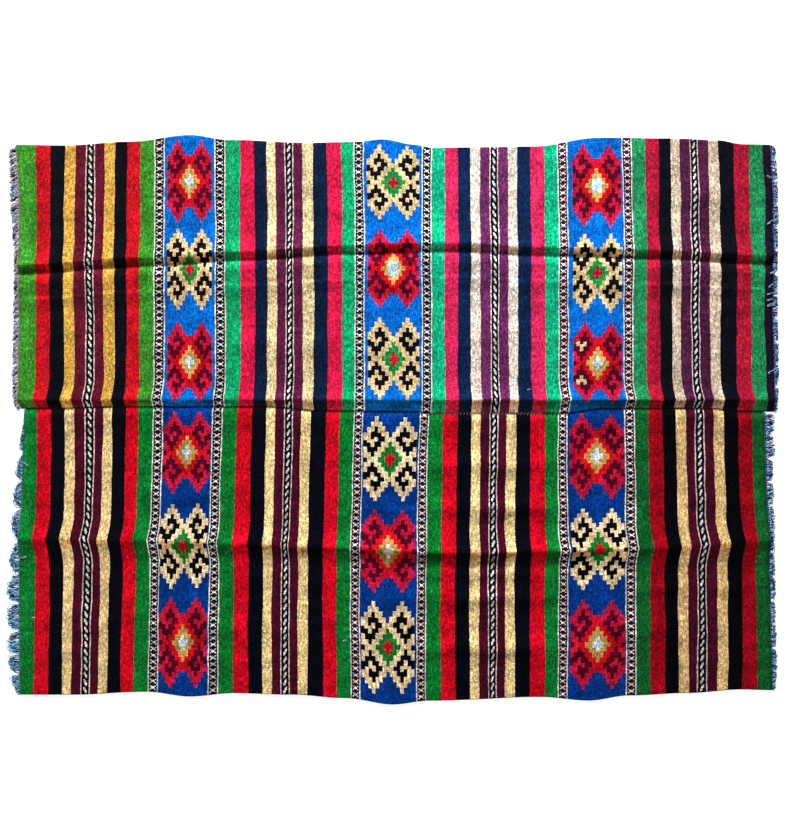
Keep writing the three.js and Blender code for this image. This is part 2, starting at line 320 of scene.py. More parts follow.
QUARTER_RIDGE = Crease(RIDGE_LINE, (
    (-0.070, 0.0), (-0.038, 0.0008), (-0.026, 0.0042), (-0.012, 0.0092), (-0.004, 0.0123),
    (0.000, 0.0130), (0.007, 0.0110), (0.018, 0.0070), (0.036, 0.0030), (0.060, 0.0005),
    (0.080, 0.0),
), rise=Reading((
    (-1.00, 0.66), (-0.50, 0.66), (-0.20, 0.72), (0.10, 0.85), (0.40, 0.85), (0.60, 0.66), (1.00, 0.66),
)), spread=Reading((
    (-1.00, 1.60), (-0.66, 1.40), (-0.45, 1.05), (0.50, 1.00), (0.66, 1.40), (1.00, 1.60),
)))

SWELLS = (
    Swell(0.240, -0.122, 0.330, 0.055, 0.0040),
    Swell(0.300, -0.235, 0.300, 0.052, 0.0045),
    Swell(-0.560, -0.190, 0.220, 0.060, 0.0040),
    Swell(0.600, -0.165, 0.190, 0.060, 0.0035),
    Swell(0.170, -0.475, 0.330, 0.050, 0.0045),
    Swell(0.250, -0.610, 0.330, 0.052, 0.0045),
    Swell(-0.430, -0.560, 0.260, 0.060, 0.0030),
    Swell(0.700, -0.560, 0.260, 0.065, 0.0040),
    Swell(-0.820, -0.540, 0.150, 0.060, 0.0030),
    Swell(-0.300, 0.200, 0.380, 0.060, 0.0030),
    Swell(0.420, 0.230, 0.330, 0.060, 0.0030),
    Swell(0.820, 0.600, 0.200, 0.060, 0.0040),
    Swell(-0.350, 0.620, 0.330, 0.055, 0.0025),
)
# Narrower ripples, too low to have a place in the solids
RIPPLES = (
    Swell(0.270, -0.121, 0.240, 0.030, 0.0024),
    Swell(0.290, -0.236, 0.220, 0.030, 0.0030),
    Swell(0.250, -0.414, 0.230, 0.026, 0.0026),
    Swell(0.280, -0.476, 0.220, 0.028, 0.0026),
    Swell(0.240, -0.609, 0.240, 0.030, 0.0030),
    Swell(0.000, -0.168, 0.100, 0.042, 0.0036),
    Swell(0.000, -0.244, 0.100, 0.020, 0.0016),
    Swell(-0.540, -0.120, 0.150, 0.034, 0.0022),
    Swell(-0.500, -0.640, 0.180, 0.034, 0.0026),
    Swell(-0.860, -0.210, 0.130, 0.036, 0.0022),
    Swell(-0.880, -0.620, 0.120, 0.034, 0.0020),
    Swell(0.560, -0.300, 0.130, 0.028, 0.0024),
    Swell(0.780, -0.450, 0.200, 0.034, 0.0030),
    Swell(0.860, -0.220, 0.150, 0.034, 0.0026),
    Swell(0.900, -0.640, 0.120, 0.036, 0.0024),
    Swell(-0.800, 0.560, 0.160, 0.040, 0.0020),
    Swell(-0.180, 0.560, 0.120, 0.036, 0.0024),
    Swell(0.020, 0.350, 0.110, 0.034, 0.0030),
    Swell(0.260, 0.600, 0.180, 0.036, 0.0020),
    Swell(0.560, 0.160, 0.120, 0.032, 0.0026),
    Swell(0.600, 0.520, 0.130, 0.040, 0.0026),
    Swell(0.900, 0.300, 0.130, 0.036, 0.0024),
    Swell(-0.560, 0.180, 0.150, 0.034, 0.0022),
)


@dataclass(frozen=True)
class Stripe:
    """One stripe of the cloth, as wide as it lies along the warp."""

    kind: Kind
    width: float
    yarn: Yarn = Yarn.BLACK
    batch: Batch = Batch.FIRST
    mirrored: bool = False
    margins: tuple[float, float] = (0.0, 0.0)


class Star(Enum):
    """The colourings of the hooked stars in the blue bands."""

    CREAM = "cream"
    RED = "red"
    OPEN_RED = "red with a wide pale middle"


@dataclass(frozen=True)
class Motif:
    """A hooked star: the band that it is in, its colouring and where it starts and ends."""

    band: int
    star: Star
    high: float
    low: float
    pale_left: bool = False


def unfolded(*rows: str) -> tuple[str, ...]:
    """Mirrors each row of a chart about its last letter."""
    return tuple(row + row[-2::-1] for row in rows)


# A quarter of each hooked star, from its corner to its middle row and column
RED_QUARTER = (
    "...C....",
    "..CCC...",
    ".CCPCC..",
    "CCPPPCCS",
    "cCpCPPSS",
    "PPCPPSSO",
    "CPPPSSOO",
    "CCPSSOOB",
    "PSSSOOBB",
)
STAR_CHARTS = {
    Star.CREAM: (
        "...W....",
        "..WWW...",
        ".WWKWW..",
        "WWKKKWW.",
        "wWkWKKWW",
        "KKWKKWWG",
        "WKKKWWGG",
        "WWKWWGGR",
        "KWWWGGRR",
    ),
    Star.RED: RED_QUARTER,
    Star.OPEN_RED: (*RED_QUARTER[:7], "CCPSSOBB", RED_QUARTER[8]),
}
STAR_YARNS = {
    ".": Yarn.BLUE,
    "W": Yarn.CREAM,
    "K": Yarn.BLACK,
    "G": Yarn.GREEN,
    "R": Yarn.RED,
    "C": Yarn.CRIMSON,
    "S": Yarn.SCARLET,
    "P": Yarn.WINE,
    "O": Yarn.OLIVE,
    "B": Yarn.PALE_BLUE,
}
# The small letters: which letter each one is on the outer and on the inner half of its row
HALF_ROWS = {"k": "KW", "w": "WK", "p": "PC", "c": "CP"}
# The left half of each border, out to its middle column
BORDER_CHART = unfolded(
    "LKKKk",
    "LKkKK",
    "LKWKK",
    "LKKWW",
    "LKKWW",
    "LKWKK",
)
PLUM_BORDER_CHART = unfolded(
    "LKPKP",
    "LPKPK",
    "LKWKP",
    "LPKWW",
    "LKPWW",
    "LKWKP",
)
CORD_CHART = (
    "lKKKKKKKl",
    "lKKKKWKKl",
    "lKKKWWKKl",
    "lKKKWWKKl",
    "lKKWWKKKl",
    "lKKWWKKKl",
    "lKKWKKKKl",
)
BORDER_YARNS = {
    "L": Yarn.LINE,
    "l": Yarn.BLUSH,
    "K": Yarn.BLACK,
    "k": Yarn.SMOKE,
    "W": Yarn.WHITE,
    "P": Yarn.PLUM,
}
# Which chart rows, and which of their columns, are pale in the hooks of the odd star
PALE_HOOK_ROWS = (4, 5, 6, 10, 11, 12)
PALE_HOOK_COLUMNS = (1, 2, 3, 4)

UPPER_DYES = {
    Yarn.GREEN: (24, 150, 70),
    Yarn.RED: (214, 20, 44),
    Yarn.BLACK: (11, 13, 24),
    Yarn.GOLD: (236, 205, 145),
    Yarn.PLUM: (104, 22, 46),
    Yarn.END_PLUM: (34, 18, 44),
    Yarn.BLUE: (4, 110, 212),
    Yarn.WHITE: (244, 240, 236),
    Yarn.LINE: (244, 238, 228),
    Yarn.BLUSH: (240, 208, 198),
    Yarn.SMOKE: (60, 40, 42),
    Yarn.CREAM: (244, 206, 150),
    Yarn.CRIMSON: (212, 24, 60),
    Yarn.SCARLET: (224, 14, 30),
    Yarn.WINE: (90, 6, 34),
    Yarn.OLIVE: (224, 176, 98),
    Yarn.PALE_BLUE: (214, 240, 246),
}
# The lower width's dye lot; its darker blue, green, black and plum are partly painted shade, the light
# falling off towards the bottom edge
LOWER_DYES_AND_PAINTED_SHADE = {
    **UPPER_DYES,
    Yarn.GREEN: (12, 130, 50),
    Yarn.RED: (226, 10, 36),
    Yarn.BLACK: (5, 7, 20),
    Yarn.GOLD: (254, 220, 154),
    Yarn.PLUM: (76, 12, 38),
    Yarn.BLUE: (3, 60, 145),
    Yarn.CREAM: (254, 224, 174),
    Yarn.OLIVE: (206, 156, 84),
}
# Colours by block, partly each batch's own dye and partly painted light: paler golds in the later blocks
# and bluer blacks, reds and plums in the second and third stand for a cool bright light on the upper width
UPPER_BATCHES_AND_PAINTED_LIGHT = {
    Batch.FIRST: {Yarn.GREEN: (64, 154, 48), Yarn.RED: (213, 22, 36), Yarn.GOLD: (236, 184, 81)},
    Batch.SECOND: {
        Yarn.GREEN: (20, 176, 112), Yarn.RED: (232, 30, 74), Yarn.BLACK: (14, 30, 58),
        Yarn.GOLD: (238, 212, 158), Yarn.PLUM: (100, 32, 70),
    },
    Batch.THIRD: {
        Yarn.GREEN: (18, 184, 130), Yarn.RED: (230, 42, 92), Yarn.BLACK: (14, 36, 72),
        Yarn.GOLD: (238, 218, 200), Yarn.PLUM: (112, 44, 94),
    },
    Batch.LAST: {
        Yarn.GREEN: (38, 150, 92), Yarn.RED: (190, 26, 58), Yarn.GOLD: (228, 204, 178),
        Yarn.PLUM: (86, 33, 68),
    },
}
# The lower width's last block: its own batch, and painted shade, darker where less light reached the right
# end
LOWER_BATCHES_AND_PAINTED_SHADE = {
    Batch.LAST: {
        Yarn.GREEN: (18, 104, 46), Yarn.RED: (168, 8, 28), Yarn.BLACK: (3, 3, 10),
        Yarn.GOLD: (240, 200, 136),
    },
}


def linear(display: Display) -> np.ndarray:
    """Turns the display values that a yarn shows, from 0 to 255, into its linear colour."""
    share = np.array(display) / 255.0
    return DYE_DEPTH * np.where(share <= 0.04045, share / 12.92, ((share + 0.055) / 1.055) ** 2.4)


def block(batch: Batch, mirrored: bool, widths: Sequence[float]) -> list[Stripe]:
    """The eleven stripes that come between two blue bands.

    Args:
        batch: Which dye batch they are woven from.
        mirrored: Whether the cord of its middle stripe slants the other way.
        widths: The width of each stripe.

    Returns:
        The stripes, in their order along the warp.
    """
    plain = [Yarn.GREEN, Yarn.RED, Yarn.BLACK, Yarn.GOLD, Yarn.PLUM]
    stripes = [Stripe(Kind.PLAIN, w, y, batch) for w, y in zip(widths[:5], plain)]
    stripes.append(Stripe(Kind.CORD, widths[5], mirrored=mirrored))
    stripes += [Stripe(Kind.PLAIN, w, y, batch) for w, y in zip(widths[6:], reversed(plain))]
    return stripes


def bordered_band(widths: Sequence[float], margins: tuple[float, float]) -> list[Stripe]:
    """A blue band between its two borders, with the margins beside its stars."""
    return [
        Stripe(Kind.BORDER, widths[0]),
        Stripe(Kind.BAND, widths[1], Yarn.BLUE, margins=margins),
        Stripe(Kind.BORDER, widths[2]),
    ]


UPPER_STRIPES = (
    block(Batch.FIRST, False, (
        0.0440, 0.0360, 0.0373, 0.0280, 0.0288, 0.0250, 0.0243, 0.0290, 0.0323, 0.0347, 0.0379,
    ))
    + bordered_band((0.0293, 0.1339, 0.0288), (0.0070, 0.0075))
    + block(Batch.SECOND, True, (
        0.0395, 0.0387, 0.0330, 0.0243, 0.0240, 0.0219, 0.0240, 0.0293, 0.0373, 0.0380, 0.0333,
    ))
    + bordered_band((0.0270, 0.1515, 0.0272), (0.0080, 0.0060))
    + block(Batch.THIRD, False, (
        0.0347, 0.0355, 0.0339, 0.0259, 0.0264, 0.0232, 0.0248, 0.0250, 0.0355, 0.0373, 0.0357,
    ))
    + bordered_band((0.0270, 0.1459, 0.0267), (0.0120, 0.0040))
    + block(Batch.LAST, True, (
        0.0352, 0.0347, 0.0328, 0.0235, 0.0267, 0.0240, 0.0267, 0.0285, 0.0421, 0.0392, 0.0373,
    ))
    + [Stripe(Kind.PLAIN, 0.0213, Yarn.END_PLUM)]
)
LOWER_STRIPES = (
    block(Batch.FIRST, False, (
        0.0395, 0.0387, 0.0365, 0.0267, 0.0253, 0.0253, 0.0213, 0.0253, 0.0352, 0.0336, 0.0379,
    ))
    + bordered_band((0.0267, 0.1307, 0.0272), (0.0020, 0.0030))
    + block(Batch.SECOND, True, (
        0.0389, 0.0400, 0.0384, 0.0243, 0.0237, 0.0229, 0.0221, 0.0259, 0.0405, 0.0360, 0.0368,
    ))
    + bordered_band((0.0264, 0.1496, 0.0259), (0.0030, 0.0050))
    + block(Batch.THIRD, True, (
        0.0387, 0.0387, 0.0379, 0.0256, 0.0232, 0.0240, 0.0213, 0.0261, 0.0400, 0.0400, 0.0352,
    ))
    + bordered_band((0.0267, 0.1525, 0.0288), (0.0060, 0.0020))
    + block(Batch.LAST, True, (
        0.0373, 0.0381, 0.0357, 0.0269, 0.0232, 0.0261, 0.0267, 0.0277, 0.0389, 0.0392, 0.0400,
    ))
)

UPPER_MOTIFS = (
    Motif(0, Star.RED, 0.7433, 0.5273),
    Motif(0, Star.CREAM, 0.5086, 0.2926),
    Motif(0, Star.RED, 0.2606, 0.0472),
    Motif(1, Star.CREAM, 0.7316, 0.5334),
    Motif(1, Star.OPEN_RED, 0.5059, 0.2990),
    Motif(1, Star.CREAM, 0.2720, 0.0525),
    Motif(2, Star.OPEN_RED, 0.7326, 0.5139),
    Motif(2, Star.CREAM, 0.4939, 0.2851),
    Motif(2, Star.RED, 0.2579, 0.0419, pale_left=True),
)
LOWER_MOTIFS = (
    Motif(0, Star.RED, 0.0205, -0.1955),
    Motif(0, Star.CREAM, -0.2235, -0.4502),
    Motif(0, Star.RED, -0.4729, -0.7142),
    Motif(1, Star.CREAM, 0.0072, -0.2187),
    Motif(1, Star.RED, -0.2408, -0.4595),
    Motif(1, Star.CREAM, -0.4835, -0.7299),
    Motif(2, Star.RED, 0.0152, -0.2115),
    Motif(2, Star.CREAM, -0.2371, -0.4529),
    Motif(2, Star.RED, -0.4809, -0.7182),
)


def full_star(star: Star) -> tuple[str, ...]:
    """Unfolds the quarter chart of a star into its 17 rows of 15 letters."""
    half = unfolded(*STAR_CHARTS[star])
    return half + half[-2::-1]


def closed(ring: np.ndarray) -> np.ndarray:
    """Repeats the first row of a ring at its end."""
    return np.append(ring, ring[:1], axis=0)


def quads(grid: np.ndarray, turned: bool = False) -> np.ndarray:
    """Goes round the four corners of each cell of a grid.

    Args:
        grid: What each corner has, by row and column.
        turned: Whether to go round the other way, for a face that looks down.

    Returns:
        What the corners have, in rows of four.
    """
    near, far = slice(None, -1), slice(1, None)
    order = ((near, near), (near, far), (far, far), (far, near))
    corners = [grid[cut] for cut in (order[::-1] if turned else order)]
    return np.stack(corners, axis=2).reshape(-1, 4, *grid.shape[2:])


@dataclass
class Mesher:
    """Collects the corners and faces of one mesh, with the dye of each face."""

    corners: list[np.ndarray] = field(default_factory=list)
    woven: list[np.ndarray] = field(default_factory=list)
    faces: list[np.ndarray] = field(default_factory=list)
    dyes: list[np.ndarray] = field(default_factory=list)
    maps: list[np.ndarray] = field(default_factory=list)
    count: int = 0

    def add_corners(self, places: np.ndarray, woven: np.ndarray) -> np.ndarray:
        """Adds corners.

        Args:
            places: Their places.
            woven: Where each one is in the cloth or the yarn.

        Returns:
            The number of each corner, in the same rows and columns.
        """
        numbers = self.count + np.arange(math.prod(places.shape[:-1])).reshape(places.shape[:-1])
        self.corners.append(places.reshape(-1, 3))
        self.woven.append(woven.reshape(-1, 3))
        self.count += numbers.size
        return numbers

    def add_faces(self, faces: np.ndarray, dyes: np.ndarray, maps: np.ndarray) -> None:
        """Adds faces of one number of sides.

        Args:
            faces: The corner numbers of each face, counter-clockwise from outside.
            dyes: The linear colour of each face, or of them all.
            maps: The place of each face's corners on the bake map.
        """
        self.faces.append(faces)
        self.dyes.append(np.broadcast_to(dyes.reshape(-1, 3), (len(faces), 3)))
        self.maps.append(maps.reshape(-1, 2))

    def build(self, name: str, material: bpy.types.Material) -> bpy.types.Object:
        """Makes the object.

        Args:
            name: The piece's name.
            material: Its finish.

        Returns:
            The object, in the scene and riding on the rug's body.
        """
        mesh = bpy.data.meshes.new(name)
        faces = [face for group in self.faces for face in group.tolist()]
        mesh.from_pydata(np.concatenate(self.corners).tolist(), [], faces)
        mesh.polygons.foreach_set("use_smooth", np.full(len(faces), True))
        colours = np.repeat(np.concatenate(self.dyes), [len(face) for face in faces], axis=0)
        dye = mesh.attributes.new("dye", "FLOAT_COLOR", "CORNER")
        dye.data.foreach_set("color", np.column_stack([colours, np.ones(len(colours))]).ravel())
        woven = mesh.attributes.new("woven", "FLOAT_VECTOR", "POINT")
        woven.data.foreach_set("vector", np.concatenate(self.woven).ravel())
        bake = mesh.uv_layers.new(name="OFBake")
        bake.data.foreach_set("uv", np.concatenate(self.maps).ravel())
        mesh.materials.append(material)
        mesh.update()
        mesh.validate()
        piece = bpy.data.objects.new(name, mesh)
        bpy.context.scene.collection.objects.link(piece)
        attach(piece, BODY)
        return piece


# The tubes that the yarns are: how many sides, and how their patches lie on the bake map
YARN_SIDES = 5
PATCH_LENGTH = 3.0
PATCH_MARGIN = 0.08
CAP_SPOT = 0.001


@dataclass
class YarnMesher(Mesher):
    """Collects yarns into one mesh, and shares the bake map out among them."""

    room: int = 1
    used: int = 0

    def patch(self) -> Linear:
        """The low and the high corner of the next yarn's patch of the bake map."""
        across = max(1, math.ceil(math.sqrt(self.room / PATCH_LENGTH)))
        up = math.ceil(self.room / across)
        column, row = self.used % across, (self.used // across) % up
        self.used += 1
        return (
            (column + PATCH_MARGIN) / across, (row + PATCH_MARGIN) / up,
            (column + 1 - PATCH_MARGIN) / across, (row + 1 - PATCH_MARGIN) / up,
        )

    def add_yarn(self, path: np.ndarray, radius: float, display: Display) -> None:
        """Adds a closed tube round a path.

        Args:
            path: The points of its centreline.
            radius: Its radius.
            display: The colour that it shows.
        """
        along = np.gradient(path, axis=0)
        along /= np.linalg.norm(along, axis=1, keepdims=True)
        normal = np.cross(along[0], (0.0, 0.0, 1.0))
        frames = []
        for direction in along:
            normal = normal - direction * np.dot(normal, direction)
            normal = normal / np.linalg.norm(normal)
            frames.append((normal, np.cross(direction, normal)))
        across = np.array(frames)
        turn = np.arange(YARN_SIDES) * math.tau / YARN_SIDES
        circle = np.column_stack([np.cos(turn), np.sin(turn)])
        ring = circle[:, 0, None, None] * across[None, :, 0] + circle[:, 1, None, None] * across[None, :, 1]
        skin = (path[None] + ring * radius).transpose(1, 0, 2)
        travelled = np.append(0.0, np.cumsum(np.linalg.norm(np.diff(path, axis=0), axis=1)))
        woven = np.stack(np.broadcast_arrays(travelled[:, None], turn / math.tau, 0.0), axis=-1)
        numbers = self.add_corners(skin, woven)
        low_u, low_v, high_u, high_v = self.patch()
        u = low_u + (high_u - low_u) * np.arange(len(path)) / (len(path) - 1)
        v = low_v + (high_v - low_v) * np.arange(YARN_SIDES + 1) / YARN_SIDES
        board = np.stack(np.meshgrid(u, v, indexing="ij"), axis=-1)
        self.add_faces(quads(closed(numbers.T).T), linear(display), quads(board))
        spots = np.array((low_u, low_v)) + CAP_SPOT * np.stack([circle, circle])
        self.add_faces(np.stack([numbers[0, ::-1], numbers[-1]]), linear(display), spots)


COLOUR, VECTOR, VALUE = "NodeSocketColor", "NodeSocketVector", "NodeSocketFloat"


@dataclass(frozen=True)
class Nodes:
    """A shader tree, with short ways to add the nodes of a finish."""

    tree: bpy.types.NodeTree

    def fill(self, node: bpy.types.Node, inputs: dict[int | str, object]) -> None:
        """Links or sets the inputs of a node.

        Args:
            node: The node.
            inputs: A constant or another node's output for each input, by name or number.
        """
        for key, value in inputs.items():
            if isinstance(value, bpy.types.NodeSocket):
                self.tree.links.new(value, node.inputs[key])
            else:
                node.inputs[key].default_value = value

    def add(self, kind: str, inputs: dict[int | str, object], **settings: object) -> bpy.types.Node:
        """Adds a node.

        Args:
            kind: Its Blender type.
            inputs: A constant or another node's output for each input, by name or number.
            settings: Its own choices, by name.

        Returns:
            The node.
        """
        node = self.tree.nodes.new(kind)
        for name, value in settings.items():
            setattr(node, name, value)
        self.fill(node, inputs)
        return node

    def maths(self, operation: str, *values: object) -> bpy.types.NodeSocket:
        """Adds a Math node and gives its output."""
        return self.add("ShaderNodeMath", dict(enumerate(values)), operation=operation).outputs[0]

    def hump(self, turns: bpy.types.NodeSocket) -> bpy.types.NodeSocket:
        """Rises and falls once, as a half circle does, from each whole turn to the next."""
        return self.maths("ABSOLUTE", self.maths("SINE", self.maths("MULTIPLY", turns, math.pi)))

    def ramp(self, value: bpy.types.NodeSocket, low: float, high: float) -> bpy.types.NodeSocket:
        """Gives a mask that rises from 0 to 1 while a value goes from low to high."""
        inputs = {"Value": value, "From Min": low, "From Max": high}
        return self.add("ShaderNodeMapRange", inputs).outputs[0]

    def mix(
        self, share: bpy.types.NodeSocket, colour: bpy.types.NodeSocket, other: Linear,
        blend: str = "MULTIPLY",
    ) -> bpy.types.NodeSocket:
        """Blends another colour into a colour.

        Args:
            share: How much of the other colour to use.
            colour: The colour.
            other: The other colour, the same everywhere.
            blend: How the two go together.

        Returns:
            The blended colour.
        """
        inputs = {"Factor": share, "A": colour, "B": other}
        return self.add("ShaderNodeMix", inputs, data_type="RGBA", blend_type=blend).outputs["Result"]

    def noise(
        self, woven: bpy.types.NodeSocket, along: float, across: float, detail: float
    ) -> bpy.types.NodeSocket:
        """Adds noise over the cloth, stretched along the warp or the weft.

        Args:
            woven: The place in the cloth.
            along: How many grains there are to a metre along the warp.
            across: How many there are along the weft.
            detail: How many finer layers the noise has.

        Returns:
            The noise, from 0 to 1.
        """
        spread = self.add("ShaderNodeVectorMath", {0: woven, 1: (along, across, 1.0)}, operation="MULTIPLY")
        inputs = {"Vector": spread.outputs[0], "Scale": 1.0, "Detail": detail, "Roughness": 0.6}
        return self.add("ShaderNodeTexNoise", inputs).outputs[0]


def new_group(
    name: str, inputs: dict[str, str], outputs: dict[str, str]
) -> tuple[Nodes, bpy.types.Node, bpy.types.Node]:
    """Starts a shader node group.

    Args:
        name: The group's name.
        inputs: The socket type of each input.
        outputs: The socket type of each output.

    Returns:
        The group's tree, and its input and output nodes.
    """
    tree = bpy.data.node_groups.new(name, "ShaderNodeTree")
    for way, sockets in (("INPUT", inputs), ("OUTPUT", outputs)):
        for label, socket in sockets.items():
            tree.interface.new_socket(label, in_out=way, socket_type=socket)
    return Nodes(tree), tree.nodes.new("NodeGroupInput"), tree.nodes.new("NodeGroupOutput")


# The layers of uneven dye: grains to a metre along the warp and the weft, finer layers, and weight
DYE_LAYERS = (
    (430.0, 40.0, 2.0, 0.8),
    (420.0, 250.0, 1.0, 1.3),
    (170.0, 95.0, 2.0, 1.5),
    (26.0, 9.0, 3.0, 0.8),
)
# The brown patches and the pale hairs: the same three for their noise, the masks' ends and colours
BROWN_GRAIN = (120.0, 60.0, 3.0)
BROWN_ENDS = (0.50, 0.72)
BROWN = (0.66, 0.46, 0.30, 1.0)
HAIR_GRAIN = (700.0, 180.0, 1.0)
HAIR_ENDS = (0.70, 0.78)
HAIR = (0.40, 0.39, 0.37, 1.0)


def heather_group() -> bpy.types.NodeTree:
    """Hand-dyed wool: uneven dye along each weft, felted streaks, brown patches and pale hairs.

    Returns:
        A group that takes a dye and a place in the cloth and gives its colour and its fuzz.
    """
    nodes, given, result = new_group(
        "hand_dyed_wool",
        {"Dye": COLOUR, "Woven": VECTOR, "Unevenness": VALUE, "Browning": VALUE, "Hairs": VALUE},
        {"Color": COLOUR, "Fuzz": VALUE},
    )
    woven = given.outputs["Woven"]
    total = 0.0
    for *grain, weight in DYE_LAYERS:
        swing = nodes.maths("SUBTRACT", nodes.noise(woven, *grain), 0.5)
        total = nodes.maths("ADD", total, nodes.maths("MULTIPLY", swing, weight))
    depth = nodes.maths("EXPONENT", nodes.maths("MULTIPLY", total, given.outputs["Unevenness"]))
    shaded = nodes.add("ShaderNodeHueSaturation", {"Color": given.outputs["Dye"], "Value": depth})
    brown = nodes.ramp(nodes.noise(woven, *BROWN_GRAIN), *BROWN_ENDS)
    share = nodes.maths("MULTIPLY", brown, given.outputs["Browning"])
    browned = nodes.mix(share, shaded.outputs[0], BROWN)
    hairs = nodes.ramp(nodes.noise(woven, *HAIR_GRAIN), *HAIR_ENDS)
    share = nodes.maths("MULTIPLY", hairs, given.outputs["Hairs"])
    nodes.fill(result, {"Color": nodes.mix(share, browned, HAIR, "MIX"), "Fuzz": total})
    return nodes.tree


# The weave: how far picks stray, and the power and the weight of its ribs and of its beads
PICK_GRAIN = (90.0, 120.0, 1.0)
PICK_STRAY = 1.6
RIB = (0.7, 0.65)
BEAD = (0.8, 0.35)


def rib_group() -> bpy.types.NodeTree:
    """Weft-faced ribs: packed wefts that go over and under each warp by turns.

    Returns:
        A group that takes a place in the cloth and gives a height and a mask of the hollows.
    """
    nodes, given, result = new_group(
        "weft_faced_ribs",
        {"Woven": VECTOR, "Warp Pitch": VALUE, "Pick Pitch": VALUE},
        {"Height": VALUE, "Hollow": VALUE},
    )
    parts = nodes.add("ShaderNodeSeparateXYZ", {0: given.outputs["Woven"]})
    rib = nodes.maths("DIVIDE", parts.outputs["Y"], given.outputs["Warp Pitch"])
    pick = nodes.maths("DIVIDE", parts.outputs["X"], given.outputs["Pick Pitch"])
    offset = nodes.maths("MULTIPLY", nodes.maths("FLOOR", rib), 0.5)
    drift = nodes.maths("MULTIPLY", nodes.noise(given.outputs["Woven"], *PICK_GRAIN), PICK_STRAY)
    phase = nodes.maths("ADD", nodes.maths("ADD", pick, offset), drift)
    rise, bead = nodes.hump(rib), nodes.hump(phase)
    heights = [
        nodes.maths("MULTIPLY", nodes.maths("POWER", hump, power), weight)
        for hump, (power, weight) in ((rise, RIB), (bead, BEAD))
    ]
    root = nodes.maths("POWER", nodes.maths("MULTIPLY", rise, bead), 0.5)
    nodes.fill(result, {
        "Height": nodes.maths("ADD", *heights), "Hollow": nodes.maths("SUBTRACT", 1.0, root),
    })
    return nodes.tree


@dataclass(frozen=True, kw_only=True)
class Wool:
    """A matt woollen finish with uneven dye. Each kind of wool adds its own structure."""

    name: str
    unevenness: float
    browning: float
    hairs: float
    relief: float
    depth: float
    roughness: float
    gloss: float
    sheen: float = 0.0

    def structure(
        self, nodes: Nodes, wool: bpy.types.Node, woven: bpy.types.NodeSocket
    ) -> tuple[bpy.types.NodeSocket, bpy.types.NodeSocket]:
        """Each kind of wool gives its own colour and height here."""
        raise NotImplementedError

    def material(self, heather: bpy.types.NodeTree) -> bpy.types.Material:
        """Makes the material.

        Args:
            heather: The group that makes a dye uneven.

        Returns:
            The material.
        """
        material = bpy.data.materials.new(self.name)
        material.use_nodes = True
        nodes = Nodes(material.node_tree)
        dye = nodes.add("ShaderNodeAttribute", {}, attribute_name="dye").outputs["Color"]
        woven = nodes.add("ShaderNodeAttribute", {}, attribute_name="woven").outputs["Vector"]
        wool = nodes.add(
            "ShaderNodeGroup",
            {"Dye": dye, "Woven": woven, "Unevenness": self.unevenness, "Browning": self.browning,
             "Hairs": self.hairs},
            node_tree=heather,
        )
        colour, height = self.structure(nodes, wool, woven)
        bump = nodes.add(
            "ShaderNodeBump", {"Strength": self.relief, "Distance": self.depth, "Height": height}
        )
        nodes.fill(material.node_tree.nodes["Principled BSDF"], {
            "Base Color": colour, "Normal": bump.outputs["Normal"], "Roughness": self.roughness,
            "Sheen Weight": self.sheen, "Specular IOR Level": self.gloss,
        })
        return material


@dataclass(frozen=True, kw_only=True)
class WovenWool(Wool):
    """The finish of the cloth: matt, heathered wool with the ribs of a weft-faced weave."""

    ribs: bpy.types.NodeTree
    name: str = "woven_wool"
    unevenness: float = 2.1
    browning: float = 0.45
    hairs: float = 0.12
    relief: float = 0.8
    depth: float = 0.0007
    roughness: float = 0.92
    gloss: float = 0.02
    sheen: float = 0.01
    fuzz_to_ribs: float = 1.6
    # Painted shade in the rib hollows: the colour multiplied in where they are deepest
    hollow_shade: Linear = (0.35, 0.33, 0.36, 1.0)

    def structure(
        self, nodes: Nodes, wool: bpy.types.Node, woven: bpy.types.NodeSocket
    ) -> tuple[bpy.types.NodeSocket, bpy.types.NodeSocket]:
        """Adds the ribs, with painted shade that darkens their hollows.

        Args:
            nodes: The material's tree.
            wool: The node that makes the dye uneven.
            woven: The place in the cloth.

        Returns:
            The colour and the height of the cloth.
        """
        inputs = {"Woven": woven, "Warp Pitch": WARP_PITCH, "Pick Pitch": PICK_PITCH}
        weave = nodes.add("ShaderNodeGroup", inputs, node_tree=self.ribs)
        # Painted shade: the colour darkens towards the hollows of the ribs
        colour = nodes.mix(weave.outputs["Hollow"], wool.outputs["Color"], self.hollow_shade)
        fuzz = nodes.maths("MULTIPLY", wool.outputs["Fuzz"], self.fuzz_to_ribs)
        return colour, nodes.maths("ADD", weave.outputs["Height"], fuzz)


@dataclass(frozen=True, kw_only=True)
class TwistedYarn(Wool):
    """The finish of a twisted yarn: two plies that wind round each other."""

    second_ply: Linear
    twist_pitch: float
    unevenness: float = 1.6
    browning: float = 0.2
    hairs: float = 0.2
    relief: float = 0.7
    depth: float = 0.0004
    roughness: float = 0.9
    gloss: float = 0.1
    ply_edge: float = 0.2

    def structure(
        self, nodes: Nodes, wool: bpy.types.Node, woven: bpy.types.NodeSocket
    ) -> tuple[bpy.types.NodeSocket, bpy.types.NodeSocket]:
        """Adds the two plies.

        Args:
            nodes: The material's tree.
            wool: The node that makes the dye uneven.
            woven: The place in the yarn.

        Returns:
            The colour and the height of the yarn.
        """
        parts = nodes.add("ShaderNodeSeparateXYZ", {0: woven})
        turns = nodes.maths("DIVIDE", parts.outputs["X"], self.twist_pitch)
        phase = nodes.maths("ADD", turns, parts.outputs["Y"])
        wave = nodes.maths("SINE", nodes.maths("MULTIPLY", phase, math.tau))
        ply = nodes.ramp(wave, -self.ply_edge, self.ply_edge)
        return nodes.mix(ply, wool.outputs["Color"], self.second_ply), nodes.maths("ABSOLUTE", wave)


